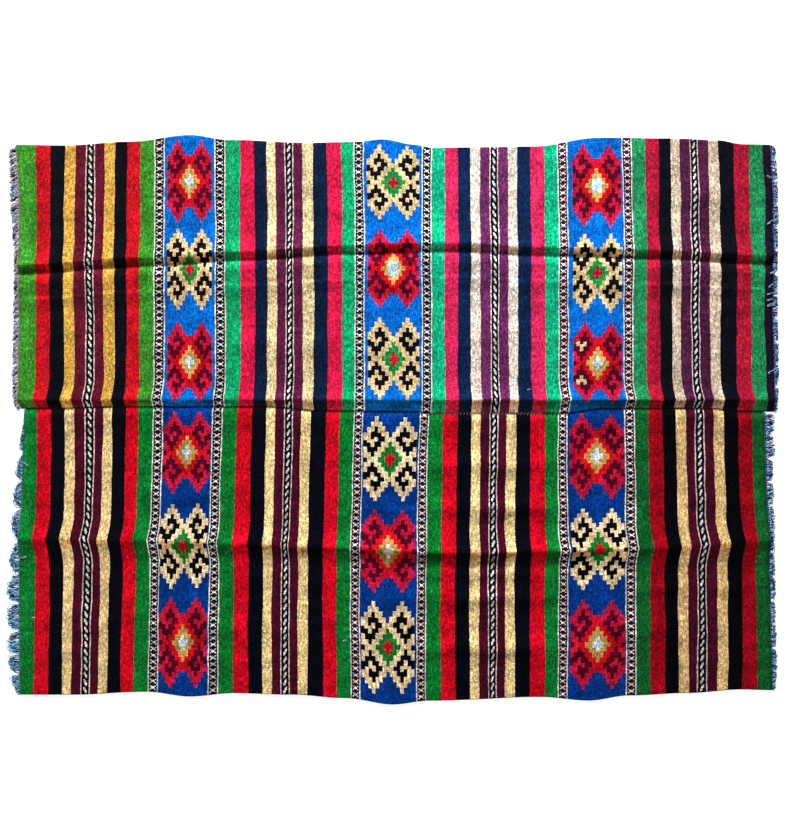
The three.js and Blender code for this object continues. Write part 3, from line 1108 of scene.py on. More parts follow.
@dataclass
class Sheet:
    """One side of the cloth, by row and column: its corners, and the colours of its cells."""

    places: np.ndarray
    woven: np.ndarray
    flat_map: np.ndarray
    colours: np.ndarray
    numbers: np.ndarray = field(init=False)

    def add_to(self, mesher: Mesher, turned: bool = False) -> None:
        """Adds the side to a mesh as four-sided faces, turned if it looks down."""
        self.numbers = mesher.add_corners(self.places, self.woven)
        mesher.add_faces(quads(self.numbers, turned), self.colours, quads(self.flat_map, turned))


@dataclass
class LoomWidth:
    """One loom width of the rug: a flat weft-faced cloth with stripes, borders and stars."""

    name: str
    node: str
    side: int
    first_edge: float
    stripes: list[Stripe]
    motifs: tuple[Motif, ...]
    border_charts: tuple[tuple[str, ...], ...]
    outer_edge: Reading
    left_end: Reading
    right_end: Reading
    sway_outer: Reading
    sway_seam: Reading
    creases: tuple[Crease | SeamCrest, ...]
    dyes: dict[Yarn, Display]
    batch_dyes_and_light: dict[Batch, dict[Yarn, Display]]
    rows: int
    seed: int
    flat: tuple[float, float]
    bottom_row_step: int = 4
    edges: np.ndarray = field(init=False)
    columns: list[tuple[int, int]] = field(init=False)
    over: np.ndarray = field(init=False)

    def __post_init__(self) -> None:
        """Plans the columns: where each one starts, and which stripe it is in."""
        edges = [self.first_edge]
        self.columns = []
        for number, stripe in enumerate(self.stripes):
            parts = np.linspace(0.0, stripe.width, COLUMNS[stripe.kind] + 1)
            if stripe.kind is Kind.BAND:
                left, right = stripe.margins
                parts[1:-1] = np.linspace(left, stripe.width - right, STAR_COLUMNS + 1)
            edges += (edges[-1] + parts[1:]).tolist()
            self.columns += [(number, place) for place in range(len(parts) - 1)]
        self.edges = np.array(edges)

    def places(self, draw: np.random.Generator) -> tuple[np.ndarray, np.ndarray, np.ndarray]:
        """Works out where the cloth lies.

        Args:
            draw: The source of the hand-woven unevenness.

        Returns:
            The x, y and underside height of each corner, by row and column, and rows go up in y.
        """
        share = np.linspace(0.0, 1.0, self.rows + 1)
        if self.side < 0:
            share = share[::-1]
        t, s = np.meshgrid(share, self.edges, indexing="ij")
        outer = t * (t - SWAY_TURN) / (1.0 - SWAY_TURN)
        inner = (t - SWAY_TURN) * (t - 1.0) / SWAY_TURN
        x = s + outer * self.sway_outer.at(s) + inner * self.sway_seam.at(s) + self.wander(t, draw)
        x = x + x * OUTWARD_PUSH * self.fold_share(x, self.across(x, t))
        y = self.across(x, t)
        left = (self.left_end.at(y[:, :1]) - x[:, :1]) * eased(1.0 - (s - s[0, 0]) / END_REACH)
        right = (self.right_end.at(y[:, -1:]) - x[:, -1:]) * eased(1.0 - (s[0, -1] - s) / END_REACH)
        x = x + left + right
        y = self.across(x, t)
        return x, y, self.height(x, y)

    def across(self, x: np.ndarray, t: np.ndarray) -> np.ndarray:
        """How far across the rug the cloth lies, from its seam out to its long edge."""
        seam = SEAM_LINE.at(x) + self.side * SEAM_GAP / 2.0
        return seam + t * (self.outer_edge.at(x) - seam)

    def fold_share(self, x: np.ndarray, y: np.ndarray) -> np.ndarray:
        """How near each place is to the crest of this width's fold, from 0 to 1."""
        near = np.abs(y - (CREST_Y if self.side > 0 else RIDGE_LINE.at(x)))
        return np.clip(1.0 - near / FOLD_REACH, 0.0, 1.0) ** FOLD_SHARPNESS

    def wander(self, t: np.ndarray, draw: np.random.Generator) -> np.ndarray:
        """The slow drift of each stripe's edge, and the small unevenness of each weft.

        Args:
            t: How far out from the seam each corner is, from 0 to 1.
            draw: The source of the unevenness.

        Returns:
            How far each corner strays along the rug.
        """
        starts = [i for i, (_, place) in enumerate(self.columns) if place == 0] + [len(self.columns)]
        drift = np.zeros((t.shape[0], len(starts)))
        for waves, size in STRIPE_DRIFTS:
            phase = draw.uniform(0.0, math.tau, len(starts))
            pace = draw.uniform(*DRIFT_PACE, len(starts)) * waves * math.tau
            drift += size * np.sin(np.outer(t[:, 0], pace) + phase)
        spread = np.stack([np.interp(np.arange(t.shape[1]), starts, row) for row in drift])
        return spread + draw.uniform(-WEFT_STRAY, WEFT_STRAY, t.shape)

    def height(self, x: np.ndarray, y: np.ndarray) -> np.ndarray:
        """The height of the cloth's underside.

        Args:
            x: How far along the rug to read.
            y: How far across the rug to read.

        Returns:
            The height at each place.
        """
        lifts = [lift.height(x, y) for lift in self.creases + SWELLS + RIPPLES]
        waves = [
            np.sin(along * x + across * y + turn * self.seed)
            for turn, (along, across) in enumerate(CLOTH_WAVES, start=1)
        ]
        return sum(lifts) + WAVE_HEIGHT * sum(waves, 2.0)

    def yarns(self, y: np.ndarray, draw: np.random.Generator) -> np.ndarray:
        """Chooses the yarn of each cell of the cloth, then darkens the folds and the seam with painted
        shade.

        Args:
            y: The place across the rug of each corner.
            draw: The source of the unevenness of the stars' steps.

        Returns:
            The linear colour of each cell, by row and column.
        """
        colours = np.zeros((self.rows, len(self.columns), 3))
        dye = {yarn: linear(self.dyes[yarn]) for yarn in Yarn}
        band = border = -1
        for column, (number, place) in enumerate(self.columns):
            stripe = self.stripes[number]
            if stripe.kind is Kind.PLAIN:
                # Each block's colours hold its dye batch and painted light as well
                batch = self.dyes | self.batch_dyes_and_light.get(stripe.batch, {})
                colours[:, column] = linear(batch[stripe.yarn])
            elif stripe.kind is Kind.BAND:
                band += place == 0
                cells = (y[:-1, column] + y[1:, column]) / 2.0
                colours[:, column] = self.star_column(band, place - 1, cells, dye, draw)
            else:
                border += place == 0 and stripe.kind is Kind.BORDER
                chart = self.border_charts[border // 2] if stripe.kind is Kind.BORDER else CORD_CHART
                letter = len(chart[0]) - 1 - place if stripe.mirrored else place
                repeat = np.array([dye[BORDER_YARNS[row[letter]]] for row in chart])
                colours[:, column] = repeat[np.arange(self.rows) % len(chart)]
        # Painted shade: a warm, darker tint on the shaded flanks of the folds
        colours *= 1.0 - self.painted_fold_shade(y)[:, :, None] * (1.0 - np.array(FOLD_SHADE_TINT))
        # Painted shade: the two rows of cells beside the seam are darkened
        seam_rows = (0, 1) if self.side > 0 else (-1, -2)
        for row, left in zip(seam_rows, SEAM_PAINTED_SHADE):
            colours[row] *= left
        return colours

    def painted_fold_shade(self, y: np.ndarray) -> np.ndarray:
        """How much painted shade darkens the dyes on the shaded flanks of the folds.

        Args:
            y: The place across the rug of each corner.

        Returns:
            The share of the painted shade in each cell, by row and column, from 0 to 1.
        """
        x = (self.edges[:-1] + self.edges[1:])[None, :] / 2.0
        middle = (y[:-1, :-1] + y[1:, 1:]) / 2.0
        if self.side > 0:
            share = SEAM_CREST.rise.at(x) * CREST_SHADE.at(middle - CREST_Y)
            share = share + TROUGH_SHADE.at(middle - TROUGH_LINE.at(x))
        else:
            share = QUARTER_RIDGE.rise.at(x) * RIDGE_SHADE.at(middle - RIDGE_LINE.at(x))
        # Only plain stripes and blue bands take the painted shade; borders and cords keep their colour
        dyed = [self.stripes[number].kind in (Kind.PLAIN, Kind.BAND) for number, _ in self.columns]
        return np.clip(share, 0.0, 1.0) * np.array(dyed)

    def star_column(
        self, band: int, place: int, cells: np.ndarray, dye: dict[Yarn, np.ndarray],
        draw: np.random.Generator,
    ) -> np.ndarray:
        """Chooses the yarns of one column of a blue band.

        Args:
            band: The band's number.
            place: The column's number among those of the stars, or outside them in the margins.
            cells: How far across the rug each cell is.
            dye: The linear colour of each yarn.
            draw: The source of the unevenness of the steps.

        Returns:
            The colour of each cell of the column.
        """
        column = np.tile(dye[Yarn.BLUE], (len(cells), 1))
        if not 0 <= place < STAR_COLUMNS:
            return column
        for motif in (motif for motif in self.motifs if motif.band == band):
            chart = full_star(motif.star)
            step = (motif.high - motif.low) / len(chart)
            depth = (motif.high - cells) / step + stray(draw, STEP_STRAY)
            for i in np.flatnonzero((depth >= 0.0) & (depth < len(chart))):
                row = int(depth[i])
                inner = (depth[i] - row >= 0.5) == (row < len(chart) // 2)
                letter = chart[row][place]
                yarn = STAR_YARNS[HALF_ROWS.get(letter, letter * 2)[int(inner)]]
                hook = row in PALE_HOOK_ROWS and place in PALE_HOOK_COLUMNS
                if motif.pale_left and hook and yarn is Yarn.CRIMSON:
                    yarn = Yarn.CREAM
                column[i] = dye[yarn]
        return column

    def build(self, material: bpy.types.Material) -> bpy.types.Object:
        """Builds the cloth as one closed mesh, fine above and plainer below.

        Args:
            material: The finish of the cloth.

        Returns:
            The piece.
        """
        draw = np.random.default_rng(self.seed)
        x, y, z = self.places(draw)
        colours = self.yarns(y, draw)
        colours *= 1.0 + draw.uniform(-TONE_STRAY, TONE_STRAY, colours.shape[:2])[..., None]
        self.over = np.stack([x, y, z + CLOTH_THICKNESS], axis=-1)
        row = np.arange(self.rows + 1)[:, None]
        woven = np.stack(np.broadcast_arrays(self.edges, row * WARP_PITCH, 0.0), axis=-1)
        length = self.edges[-1] - self.edges[0]
        u = MAP_CORNER[0] + MAP_SIZE[0] * (self.edges - self.edges[0]) / length
        v = MAP_CORNER[1] + MAP_SIZE[1] * row / self.rows
        flat_map = np.stack(np.broadcast_arrays(u, v), axis=-1)
        rows = np.append(np.arange(0, self.rows, self.bottom_row_step), self.rows)
        band = [self.stripes[number].kind is Kind.BAND for number, _ in self.columns]
        first = [place == 0 for _, place in self.columns]
        columns = np.append(np.flatnonzero(np.logical_or(band, first)), len(self.columns))
        kept = np.ix_(rows, columns)
        cells = np.ix_((rows[:-1] + rows[1:]) // 2, (columns[:-1] + columns[1:] - 1) // 2)
        below = np.stack([x, y, z], axis=-1)
        top = Sheet(self.over, woven, flat_map, colours)
        under = Sheet(below[kept], woven[kept], flat_map[kept] * UNDER_SQUEEZE, colours[cells])
        mesher = Mesher()
        top.add_to(mesher)
        under.add_to(mesher, turned=True)
        self.rim(mesher, top, under, (rows, columns))
        piece = mesher.build(self.name, material)
        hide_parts(self.node)
        return piece

    def rim(
        self, mesher: Mesher, top: Sheet, under: Sheet, kept: tuple[np.ndarray, np.ndarray]
    ) -> None:
        """Closes the cloth with a rounded rim between its fine top and its plainer underside.

        Args:
            mesher: What collects the mesh.
            top: The top of the cloth.
            under: The underside of the cloth.
            kept: The rows and the columns of the top that the underside also has.
        """
        last_row, last_column = self.rows, len(self.columns)
        loop = [(0, c) for c in range(last_column)]
        loop += [(r, last_column) for r in range(last_row)]
        loop += [(last_row, c) for c in range(last_column, 0, -1)]
        loop += [(r, 0) for r in range(last_row, 0, -1)]
        r, c = np.array(loop).T
        ring = top.places[r, c]
        along = np.roll(ring, -1, axis=0) - np.roll(ring, 1, axis=0)
        out = np.column_stack([along[:, 1], -along[:, 0], np.zeros(len(ring))])
        out /= np.linalg.norm(out, axis=1, keepdims=True)
        seam_side = r == (0 if self.side > 0 else last_row)
        middle = ring + out * np.where(seam_side, 0.0, RIM_BULGE)[:, None]
        middle[:, 2] -= CLOTH_THICKNESS / 2.0
        belt = mesher.add_corners(middle, top.woven[r, c])
        shade = top.colours[np.minimum(r, last_row - 1), np.minimum(c, last_column - 1)]
        inner_map = top.flat_map[r, c]
        outer_map = inner_map + RIM_MAP_WIDTH * np.sign(inner_map - MAP_CENTRE)
        upper = np.stack([top.numbers[r, c], belt], axis=1)
        upper_map = np.stack([inner_map, outer_map], axis=1)
        mesher.add_faces(quads(closed(upper)), shade, quads(closed(upper_map)))
        kept_row, kept_column = ({int(place): i for i, place in enumerate(places)} for places in kept)
        marks = [i for i, (row, column) in enumerate(loop) if row in kept_row and column in kept_column]
        low = {i: under.numbers[kept_row[loop[i][0]], kept_column[loop[i][1]]] for i in marks}
        faces, dyes, maps = [], [], []
        for start, end in zip(marks, marks[1:] + marks[:1]):
            for i in range(start, start + (end - start) % len(loop)):
                a, b = i % len(loop), (i + 1) % len(loop)
                faces.append((belt[a], low[start], belt[b]))
                dyes.append(shade[a])
                maps.append((outer_map[a], outer_map[a] + RIM_MAP_STEP, outer_map[b]))
            faces.append((belt[end], low[start], low[end]))
            dyes.append(shade[end])
            maps.append((outer_map[end], outer_map[start] + RIM_MAP_STEP, outer_map[end] + RIM_MAP_STEP))
        mesher.add_faces(np.array(faces), np.array(dyes), np.array(maps))


@dataclass(frozen=True)
class LoopStyle:
    """How the loops of a fringe look: their colours, which way they lean and how open they are."""

    dyes: tuple[Display, ...]
    # Dark yarns of the strands below the loops, partly painted shade between the loops
    under: tuple[Display, ...]
    heading: tuple[Display, Display]
    lean: float = 0.0
    open_width: Range = (0.0018, 0.0034)
    pitch: float = 0.0056
    yarn_radius: float = 0.00095
    bunching: float = 0.34


@dataclass(frozen=True)
class Heading:
    """The cord that holds the roots of a fringe: how it is twisted, and where it lies."""

    margin: float = 0.001
    points: int = 420
    twist_pitch: float = 0.007
    out: float = 0.0016
    up: float = 0.0018
    ply: float = 0.0007
    radius: float = 0.0009


@dataclass(frozen=True)
class Bunching:
    """How the strands of a fringe gather towards the tips of its bunches."""

    reach: float = 0.038
    longest: float = 1.10
    lean: float = 0.35
    most_lean: float = 0.011
    full: float = 0.40


@dataclass(frozen=True)
class UnderStrand:
    """The short dark strands on the floor, dark yarn that also stands in for the shade between the loops:
    their spacing, and what each one draws its shape from.
    """

    pitch: float = 0.0023
    stray: float = 0.0015
    reach: Range = (0.76, 1.00)
    bend: float = 0.003
    bend_turns: float = 1.5
    thickness: float = 1.2


@dataclass(frozen=True)
class OpenLoop:
    """The loops that curl up on their own twist, and what each one draws its shape from."""

    stray: float = 0.0022
    reach: Range = (0.62, 1.10)
    lean: float = 0.005
    lean_power: float = 1.3
    bend: float = 0.007
    hump: Range = (0.0012, 0.0036)
    hump_turns: float = 0.9
    rest_height: float = 0.0016
    tip_room: float = 0.0028
    tip_length: float = 1.2
    closed_width: float = 0.0009
    opened_from: Range = (0.10, 0.45)
    opened_over: float = 0.35
    crossings: Range = (0.2, 1.1)
    crossed_to: float = 0.75
    tilt: float = 0.5
    flatness: float = 0.6
    thickness: Range = (0.85, 1.15)


@dataclass(frozen=True)
class FallenLoop:
    """The loose loops that have fallen back, and what each one draws its shape from."""

    first_turn: Range = (0.3, 0.9)
    left_open: Range = (0.6, 2.2)
    length: Range = (0.006, 0.011)
    past_end: float = 0.004
    slant: float = 0.7
    width: Range = (0.0012, 0.0030)
    rest_height: float = 0.0012
    thickness: float = 0.8


@dataclass
class Fringe:
    """The warp loops of one end of one loom width, curled up on their own twist."""

    name: str
    node: str
    cloth: LoomWidth
    side: int
    style: LoopStyle
    reach: Reading
    tips: tuple[float, ...]
    seed: int
    folded_back: tuple[float, ...] = ()
    margin: float = 0.003
    first_step: float = 0.001
    heading: Heading = Heading()
    bunch: Bunching = Bunching()
    short: UnderStrand = UnderStrand()
    open: OpenLoop = OpenLoop()
    fallen: FallenLoop = FallenLoop()

    @property
    def end(self) -> np.ndarray:
        """The corners of the cloth's top along this end."""
        return self.cloth.over[:, 0 if self.side < 0 else -1]

    def build(self, material: bpy.types.Material) -> bpy.types.Object:
        """Builds the loops and the cord that holds their roots.

        Args:
            material: The finish of the yarn.

        Returns:
            The piece.
        """
        draw = np.random.default_rng(self.seed)
        low, high = self.end[0, 1] + self.margin, self.end[-1, 1] - self.margin
        under = np.arange(low, high, self.short.pitch)
        loops = np.arange(low, high, self.style.pitch)
        cords = len(self.style.heading)
        yarns = YarnMesher(room=len(under) + len(loops) + len(self.folded_back) + cords)
        self.heading_cord(yarns)
        for place in under:
            self.under_strand(place + stray(draw, self.short.stray), yarns, draw)
        for place in loops:
            self.loop(place + stray(draw, self.open.stray), yarns, draw)
        for place in self.folded_back:
            self.fallen_loop(place, yarns, draw)
        piece = yarns.build(self.name, material)
        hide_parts(self.node)
        return piece

    def root(self, y: float) -> np.ndarray:
        """The point on the cloth's end at a place across the rug, half way down its thickness."""
        x, z = (np.interp(y, self.end[:, 1], self.end[:, axis]) for axis in (0, 2))
        return np.array((x, y, z - CLOTH_THICKNESS / 2.0))

    def heading_cord(self, yarns: YarnMesher) -> None:
        """Adds the twisted cord along the cloth's end.

        Args:
            yarns: What collects the yarns.
        """
        cord = self.heading
        places = np.linspace(self.end[0, 1] + cord.margin, self.end[-1, 1] - cord.margin, cord.points)
        core = np.array([self.root(y) for y in places])
        for half, display in enumerate(self.style.heading):
            wave = places / cord.twist_pitch * math.tau + half * math.pi
            path = core.copy()
            path[:, 0] += self.side * cord.out + cord.ply * np.cos(wave)
            path[:, 2] += cord.ply * np.sin(wave) + cord.up
            yarns.add_yarn(path, cord.radius, display)

    def reach_at(self, y: float) -> tuple[float, float]:
        """Finds how the yarn lies at a place.

        Args:
            y: The place across the rug.

        Returns:
            How far the yarn reaches, and how far it leans towards the nearest bunch.
        """
        tips = np.array(self.tips)
        offset = tips[np.argmin(np.abs(tips - y))] - y
        fullness = math.sqrt(1.0 - min(abs(offset) / self.bunch.reach, 1.0) ** 2)
        share = self.bunch.longest - self.style.bunching * (1.0 - fullness)
        gathering = float(np.clip(offset * self.bunch.lean, -self.bunch.most_lean, self.bunch.most_lean))
        lean = gathering * self.style.bunching / self.bunch.full + self.style.lean
        return float(self.reach.at(np.array(y))) * share, lean

    def under_strand(self, y: float, yarns: YarnMesher, draw: np.random.Generator) -> None:
        """Adds one short dark strand that lies on the floor below the loops, dark yarn that is also painted
        shade between them.

        Args:
            y: The place across the rug of its root.
            yarns: What collects the yarns.
            draw: The source of its own shape.
        """
        root = self.root(y)
        reach, lean = self.reach_at(y)
        reach *= draw.uniform(*self.short.reach)
        s = np.linspace(0.0, 1.0, 9)
        bend = stray(draw, self.short.bend) * np.sin(math.pi * s * self.short.bend_turns)
        path = np.column_stack([
            root[0] + self.side * (self.first_step + reach * s),
            root[1] + lean * s + bend,
            root[2] * (1.0 - s) ** 2 + self.style.yarn_radius * (1.0 - (1.0 - s) ** 2),
        ])
        display = self.style.under[draw.integers(len(self.style.under))]
        yarns.add_yarn(path, self.style.yarn_radius * self.short.thickness, display)

    def loop(self, y: float, yarns: YarnMesher, draw: np.random.Generator) -> None:
        """Adds one loop: a yarn that goes out, turns back and is twisted round itself.

        Args:
            y: The place across the rug of its root.
            yarns: What collects the yarns.
            draw: The source of its own shape.
        """
        shape = self.open
        root = self.root(y)
        reach, lean = self.reach_at(y)
        reach *= draw.uniform(*shape.reach)
        lean += stray(draw, shape.lean)
        s = np.linspace(0.0, 1.0, 17)
        bend = stray(draw, shape.bend)
        hump = draw.uniform(*shape.hump) * np.sin(math.pi * s * shape.hump_turns)
        centre = np.column_stack([
            root[0] + self.side * (self.first_step + (reach - shape.tip_room) * s),
            root[1] + lean * s ** shape.lean_power + bend * np.sin(math.pi * s),
            root[2] * (1.0 - s) ** 2 + hump + shape.rest_height,
        ])
        open_width = draw.uniform(*self.style.open_width)
        opened = eased((s - draw.uniform(*shape.opened_from)) / shape.opened_over)
        half = shape.closed_width + (open_width - shape.closed_width) * opened
        crossings = draw.uniform(*shape.crossings)
        angle = stray(draw, shape.tilt) + math.tau * crossings * np.maximum(shape.crossed_to - s, 0.0)
        along = np.gradient(centre, axis=0)
        along /= np.linalg.norm(along, axis=1, keepdims=True)
        flat = np.cross((0.0, 0.0, 1.0), along)
        flat /= np.linalg.norm(flat, axis=1, keepdims=True)
        lift = np.cross(along, flat)
        offset = (np.cos(angle) * half)[:, None] * flat
        offset += (np.sin(angle) * half * shape.flatness)[:, None] * lift
        turn = np.linspace(0.0, math.pi, 7)[1:-1]
        tip = centre[-1] + np.outer(np.cos(turn), offset[-1])
        tip += np.outer(np.sin(turn), along[-1] * half[-1] * shape.tip_length)
        path = np.concatenate([centre + offset, tip, (centre - offset)[::-1]])
        path[:, 2] = np.maximum(path[:, 2], self.style.yarn_radius)
        display = self.style.dyes[draw.integers(len(self.style.dyes))]
        yarns.add_yarn(path, self.style.yarn_radius * draw.uniform(*shape.thickness), display)

    def fallen_loop(self, y: float, yarns: YarnMesher, draw: np.random.Generator) -> None:
        """Adds a loose loop that has fallen back over the cloth.

        Args:
            y: The place across the rug of its root.
            yarns: What collects the yarns.
            draw: The source of its own shape.
        """
        shape = self.fallen
        root = self.root(y)
        first = draw.uniform(*shape.first_turn)
        turn = np.linspace(first, math.tau - draw.uniform(*shape.left_open), 22)
        length = draw.uniform(*shape.length)
        middle = root[0] + self.side * (shape.past_end - length)
        x = middle + self.side * length * np.cos(turn)
        slant = stray(draw, shape.slant)
        across = root[1] + draw.uniform(*shape.width) * np.sin(turn) + slant * (x - middle)
        inside = self.side * (root[0] - x) > 0.0
        over = self.cloth.height(x, across) + CLOTH_THICKNESS
        z = np.where(inside, over, root[2] + shape.rest_height) + self.style.yarn_radius
        path = np.column_stack([x, across, z])
        yarns.add_yarn(path, self.style.yarn_radius * shape.thickness, self.style.dyes[2])


@dataclass(frozen=True)
class Lint:
    """Short loose fibres that have settled on the cloth."""

    places: Points = ((0.363, 0.079), (-0.957, -0.529), (-0.128, -0.590))
    display: Display = (236, 236, 240)
    length: float = 0.008
    radius: float = 0.0007
    turns: Range = (2.5, 4.5)
    curl: Range = (0.3, 0.1)
    flatness: float = 0.7
    seed: int = 61

    def build(
        self, widths: tuple[LoomWidth, LoomWidth], material: bpy.types.Material
    ) -> bpy.types.Object:
        """Builds the fibres as one piece.

        Args:
            widths: The upper and the lower loom width, that they lie on.
            material: The finish of the yarn.

        Returns:
            The piece.
        """
        draw = np.random.default_rng(self.seed)
        yarns = YarnMesher(room=len(self.places))
        for x, y in self.places:
            turn = np.linspace(0.0, draw.uniform(*self.turns), 12)
            curl = self.length * (self.curl[0] + self.curl[1] * turn)
            over_x, over_y = x + curl * np.cos(turn), y + self.flatness * curl * np.sin(turn)
            top = widths[0 if y > CREST_Y else 1].height(over_x, over_y) + CLOTH_THICKNESS
            path = np.column_stack([over_x, over_y, top + self.radius * self.flatness])
            yarns.add_yarn(path, self.radius, self.display)
        piece = yarns.build("loose_lint", material)
        return piece


@dataclass
class SeamStitches:
    """The overcast stitches that join the two loom widths."""

    upper: LoomWidth
    lower: LoomWidth
    name: str = "seam_stitches"
    pitch: float = 0.0085
    margins: Range = (0.004, 0.006)
    reach: float = 0.0042
    reach_range: Range = (0.8, 1.2)
    slant: Range = (0.001, 0.003)
    yarn_radius: float = 0.0004
    proud: float = 0.6
    sunk: float = 0.0011
    arched: float = 0.0003
    dark: tuple[Display, Display] = ((10, 6, 10), (26, 14, 20))
    pale: Display = (176, 150, 140)
    pale_from: float = 0.100
    pale_to: float = 0.400
    seed: int = 41

    def build(self, material: bpy.types.Material) -> bpy.types.Object:
        """Builds all the stitches as one piece.

        Args:
            material: The finish of the sewing yarn.

        Returns:
            The piece.
        """
        draw = np.random.default_rng(self.seed)
        upper, lower = self.upper.over[0], self.lower.over[-1]
        low = max(upper[0, 0], lower[0, 0]) + self.margins[0]
        high = min(upper[-1, 0], lower[-1, 0]) - self.margins[1]
        places = np.arange(low, high, self.pitch)
        yarns = YarnMesher(room=len(places))
        share = np.linspace(-1.0, 1.0, 9)
        for x in places:
            reach = self.reach * draw.uniform(*self.reach_range)
            x_path = x + share * draw.uniform(*self.slant)
            y = SEAM_LINE.at(np.array(x)) + share * reach
            z = self.surface(x_path, y) + self.yarn_radius * self.proud
            z[[0, -1]] -= self.sunk
            z[3:6] += self.arched
            pale = self.pale_from < x < self.pale_to
            display = self.pale if pale else self.dark[draw.integers(2)]
            yarns.add_yarn(np.column_stack([x_path, y, z]), self.yarn_radius, display)
        piece = yarns.build(self.name, material)
        return piece

    def surface(self, x: np.ndarray, y: np.ndarray) -> np.ndarray:
        """The height of the cloth's top near the seam."""
        above = y >= SEAM_LINE.at(x)
        return CLOTH_THICKNESS + np.where(above, self.upper.height(x, y), self.lower.height(x, y))


@dataclass(frozen=True)
class Viewpoint:
    """The camera, straight above the rug, with the frame that the rug was seen in."""

    centre: tuple[float, float] = (0.0107, 0.0045)
    seen_height: float = 2.2296
    lens_mm: float = 28.0
    sensor_mm: float = 36.0

    def place(self) -> None:
        """Makes the camera and gives it to the scene."""
        data = bpy.data.cameras.new("camera")
        data.lens = self.lens_mm
        data.sensor_width = self.sensor_mm
        camera = bpy.data.objects.new("camera", data)
        distance = self.seen_height * self.lens_mm / self.sensor_mm
        camera.location = (*self.centre, CLOTH_THICKNESS + distance)
        bpy.context.scene.collection.objects.link(camera)
        bpy.context.scene.camera = camera


@dataclass(frozen=True)
class AreaLamp:
    """A soft rectangular lamp that faces a point on the rug."""

    name: str
    place: tuple[float, float, float]
    aim: tuple[float, float, float]
    size: tuple[float, float]
    watts: float
    colour: tuple[float, float, float]
    spread_deg: float = 180.0

    def build(self) -> None:
        """Makes the lamp."""
        data = bpy.data.lights.new(self.name, "AREA")
        data.shape = "RECTANGLE"
        data.size, data.size_y = self.size
        data.energy = self.watts
        data.color = self.colour
        data.spread = math.radians(self.spread_deg)
        lamp = bpy.data.objects.new(self.name, data)
        lamp.location = self.place
        direction = Vector(self.aim) - Vector(self.place)
        lamp.rotation_euler = direction.to_track_quat("-Z", "Y").to_euler()
        bpy.context.scene.collection.objects.link(lamp)


@dataclass(frozen=True)
class Studio:
    """A plain pale floor and soft daylight from beyond the rug's top edge."""

    lamps: tuple[AreaLamp, ...] = (
        AreaLamp(
            "cool_window", (0.40, 2.40, 1.00), (0.24, 0.44, 0.0), (0.5, 0.3), 5.5, (0.55, 0.85, 1.0), 50.0
        ),
        AreaLamp(
            "raking_window", (-1.8, 7.00, 2.70), (-0.1, 0.0, 0.0), (4.5, 1.4), 1980.0, (1.0, 0.98, 0.95)
        ),
    )
    sky: float = 0.30
    white: Linear = (1.0, 1.0, 1.0, 1.0)
    floor_size: float = 7.0
    floor_height: float = -0.0005
    floor_shade: Linear = (0.30, 0.30, 0.30, 1.0)
    floor_roughness: float = 0.9
    floor_glow: float = 0.86

    def build(self) -> None:
        """Makes the floor, the lamps and the sky."""
        scene = bpy.context.scene
        scene.view_settings.view_transform = "Standard"
        world = bpy.data.worlds.new("sky")
        world.use_nodes = True
        tree = world.node_tree
        Nodes(tree).fill(tree.nodes["Background"], {"Color": self.white, "Strength": self.sky})
        scene.world = world
        half = self.floor_size / 2.0
        corners = [(-half, -half, 0.0), (half, -half, 0.0), (half, half, 0.0), (-half, half, 0.0)]
        mesh = bpy.data.meshes.new("floor")
        mesh.from_pydata(corners, [], [(0, 1, 2, 3)])
        floor = bpy.data.objects.new("floor", mesh)
        floor.location.z = self.floor_height
        material = bpy.data.materials.new("pale_floor")
        material.use_nodes = True
        tree = material.node_tree
        Nodes(tree).fill(tree.nodes["Principled BSDF"], {
            "Base Color": self.floor_shade, "Roughness": self.floor_roughness,
            "Emission Color": self.white, "Emission Strength": self.floor_glow,
        })
        mesh.materials.append(material)
        scene.collection.objects.link(floor)
        for lamp in self.lamps:
            lamp.build()


def upper_width() -> LoomWidth:
    """Plans the upper loom width, with the plum stripe at its right end.

    Returns:
        The width, not yet built.
    """
    return LoomWidth(
        name="upper_loom_width",
        node="panel_upper",
        side=1,
        first_edge=-0.9948,
        stripes=UPPER_STRIPES,
        motifs=UPPER_MOTIFS,
        border_charts=(BORDER_CHART, BORDER_CHART, PLUM_BORDER_CHART),
        outer_edge=TOP_EDGE,
        left_end=Reading((
            (0.010, -0.983), (0.054, -0.999), (0.105, -0.998), (0.320, -0.995),
            (0.585, -0.995), (0.733, -1.003),
        )),
        right_end=Reading((
            (0.020, 1.016), (0.130, 1.016), (0.345, 1.011), (0.585, 1.013), (0.733, 1.006),
        )),
        sway_outer=Reading((
            (-0.915, 0.003), (-0.728, 0.002), (-0.381, -0.003), (-0.168, -0.003), (0.125, 0.0),
            (0.285, -0.003), (0.552, -0.005), (0.765, -0.003), (0.925, -0.008),
        )),
        sway_seam=Reading((
            (-0.728, 0.0), (-0.381, -0.001), (-0.168, 0.0), (0.285, 0.0), (0.552, -0.001),
            (0.765, 0.003), (0.925, 0.0),
        )),
        creases=(SEAM_CREST, QUARTER_TROUGH),
        dyes=UPPER_DYES,
        batch_dyes_and_light=UPPER_BATCHES_AND_PAINTED_LIGHT,
        rows=248,
        seed=11,
        flat=(2.01, 0.72),
    )


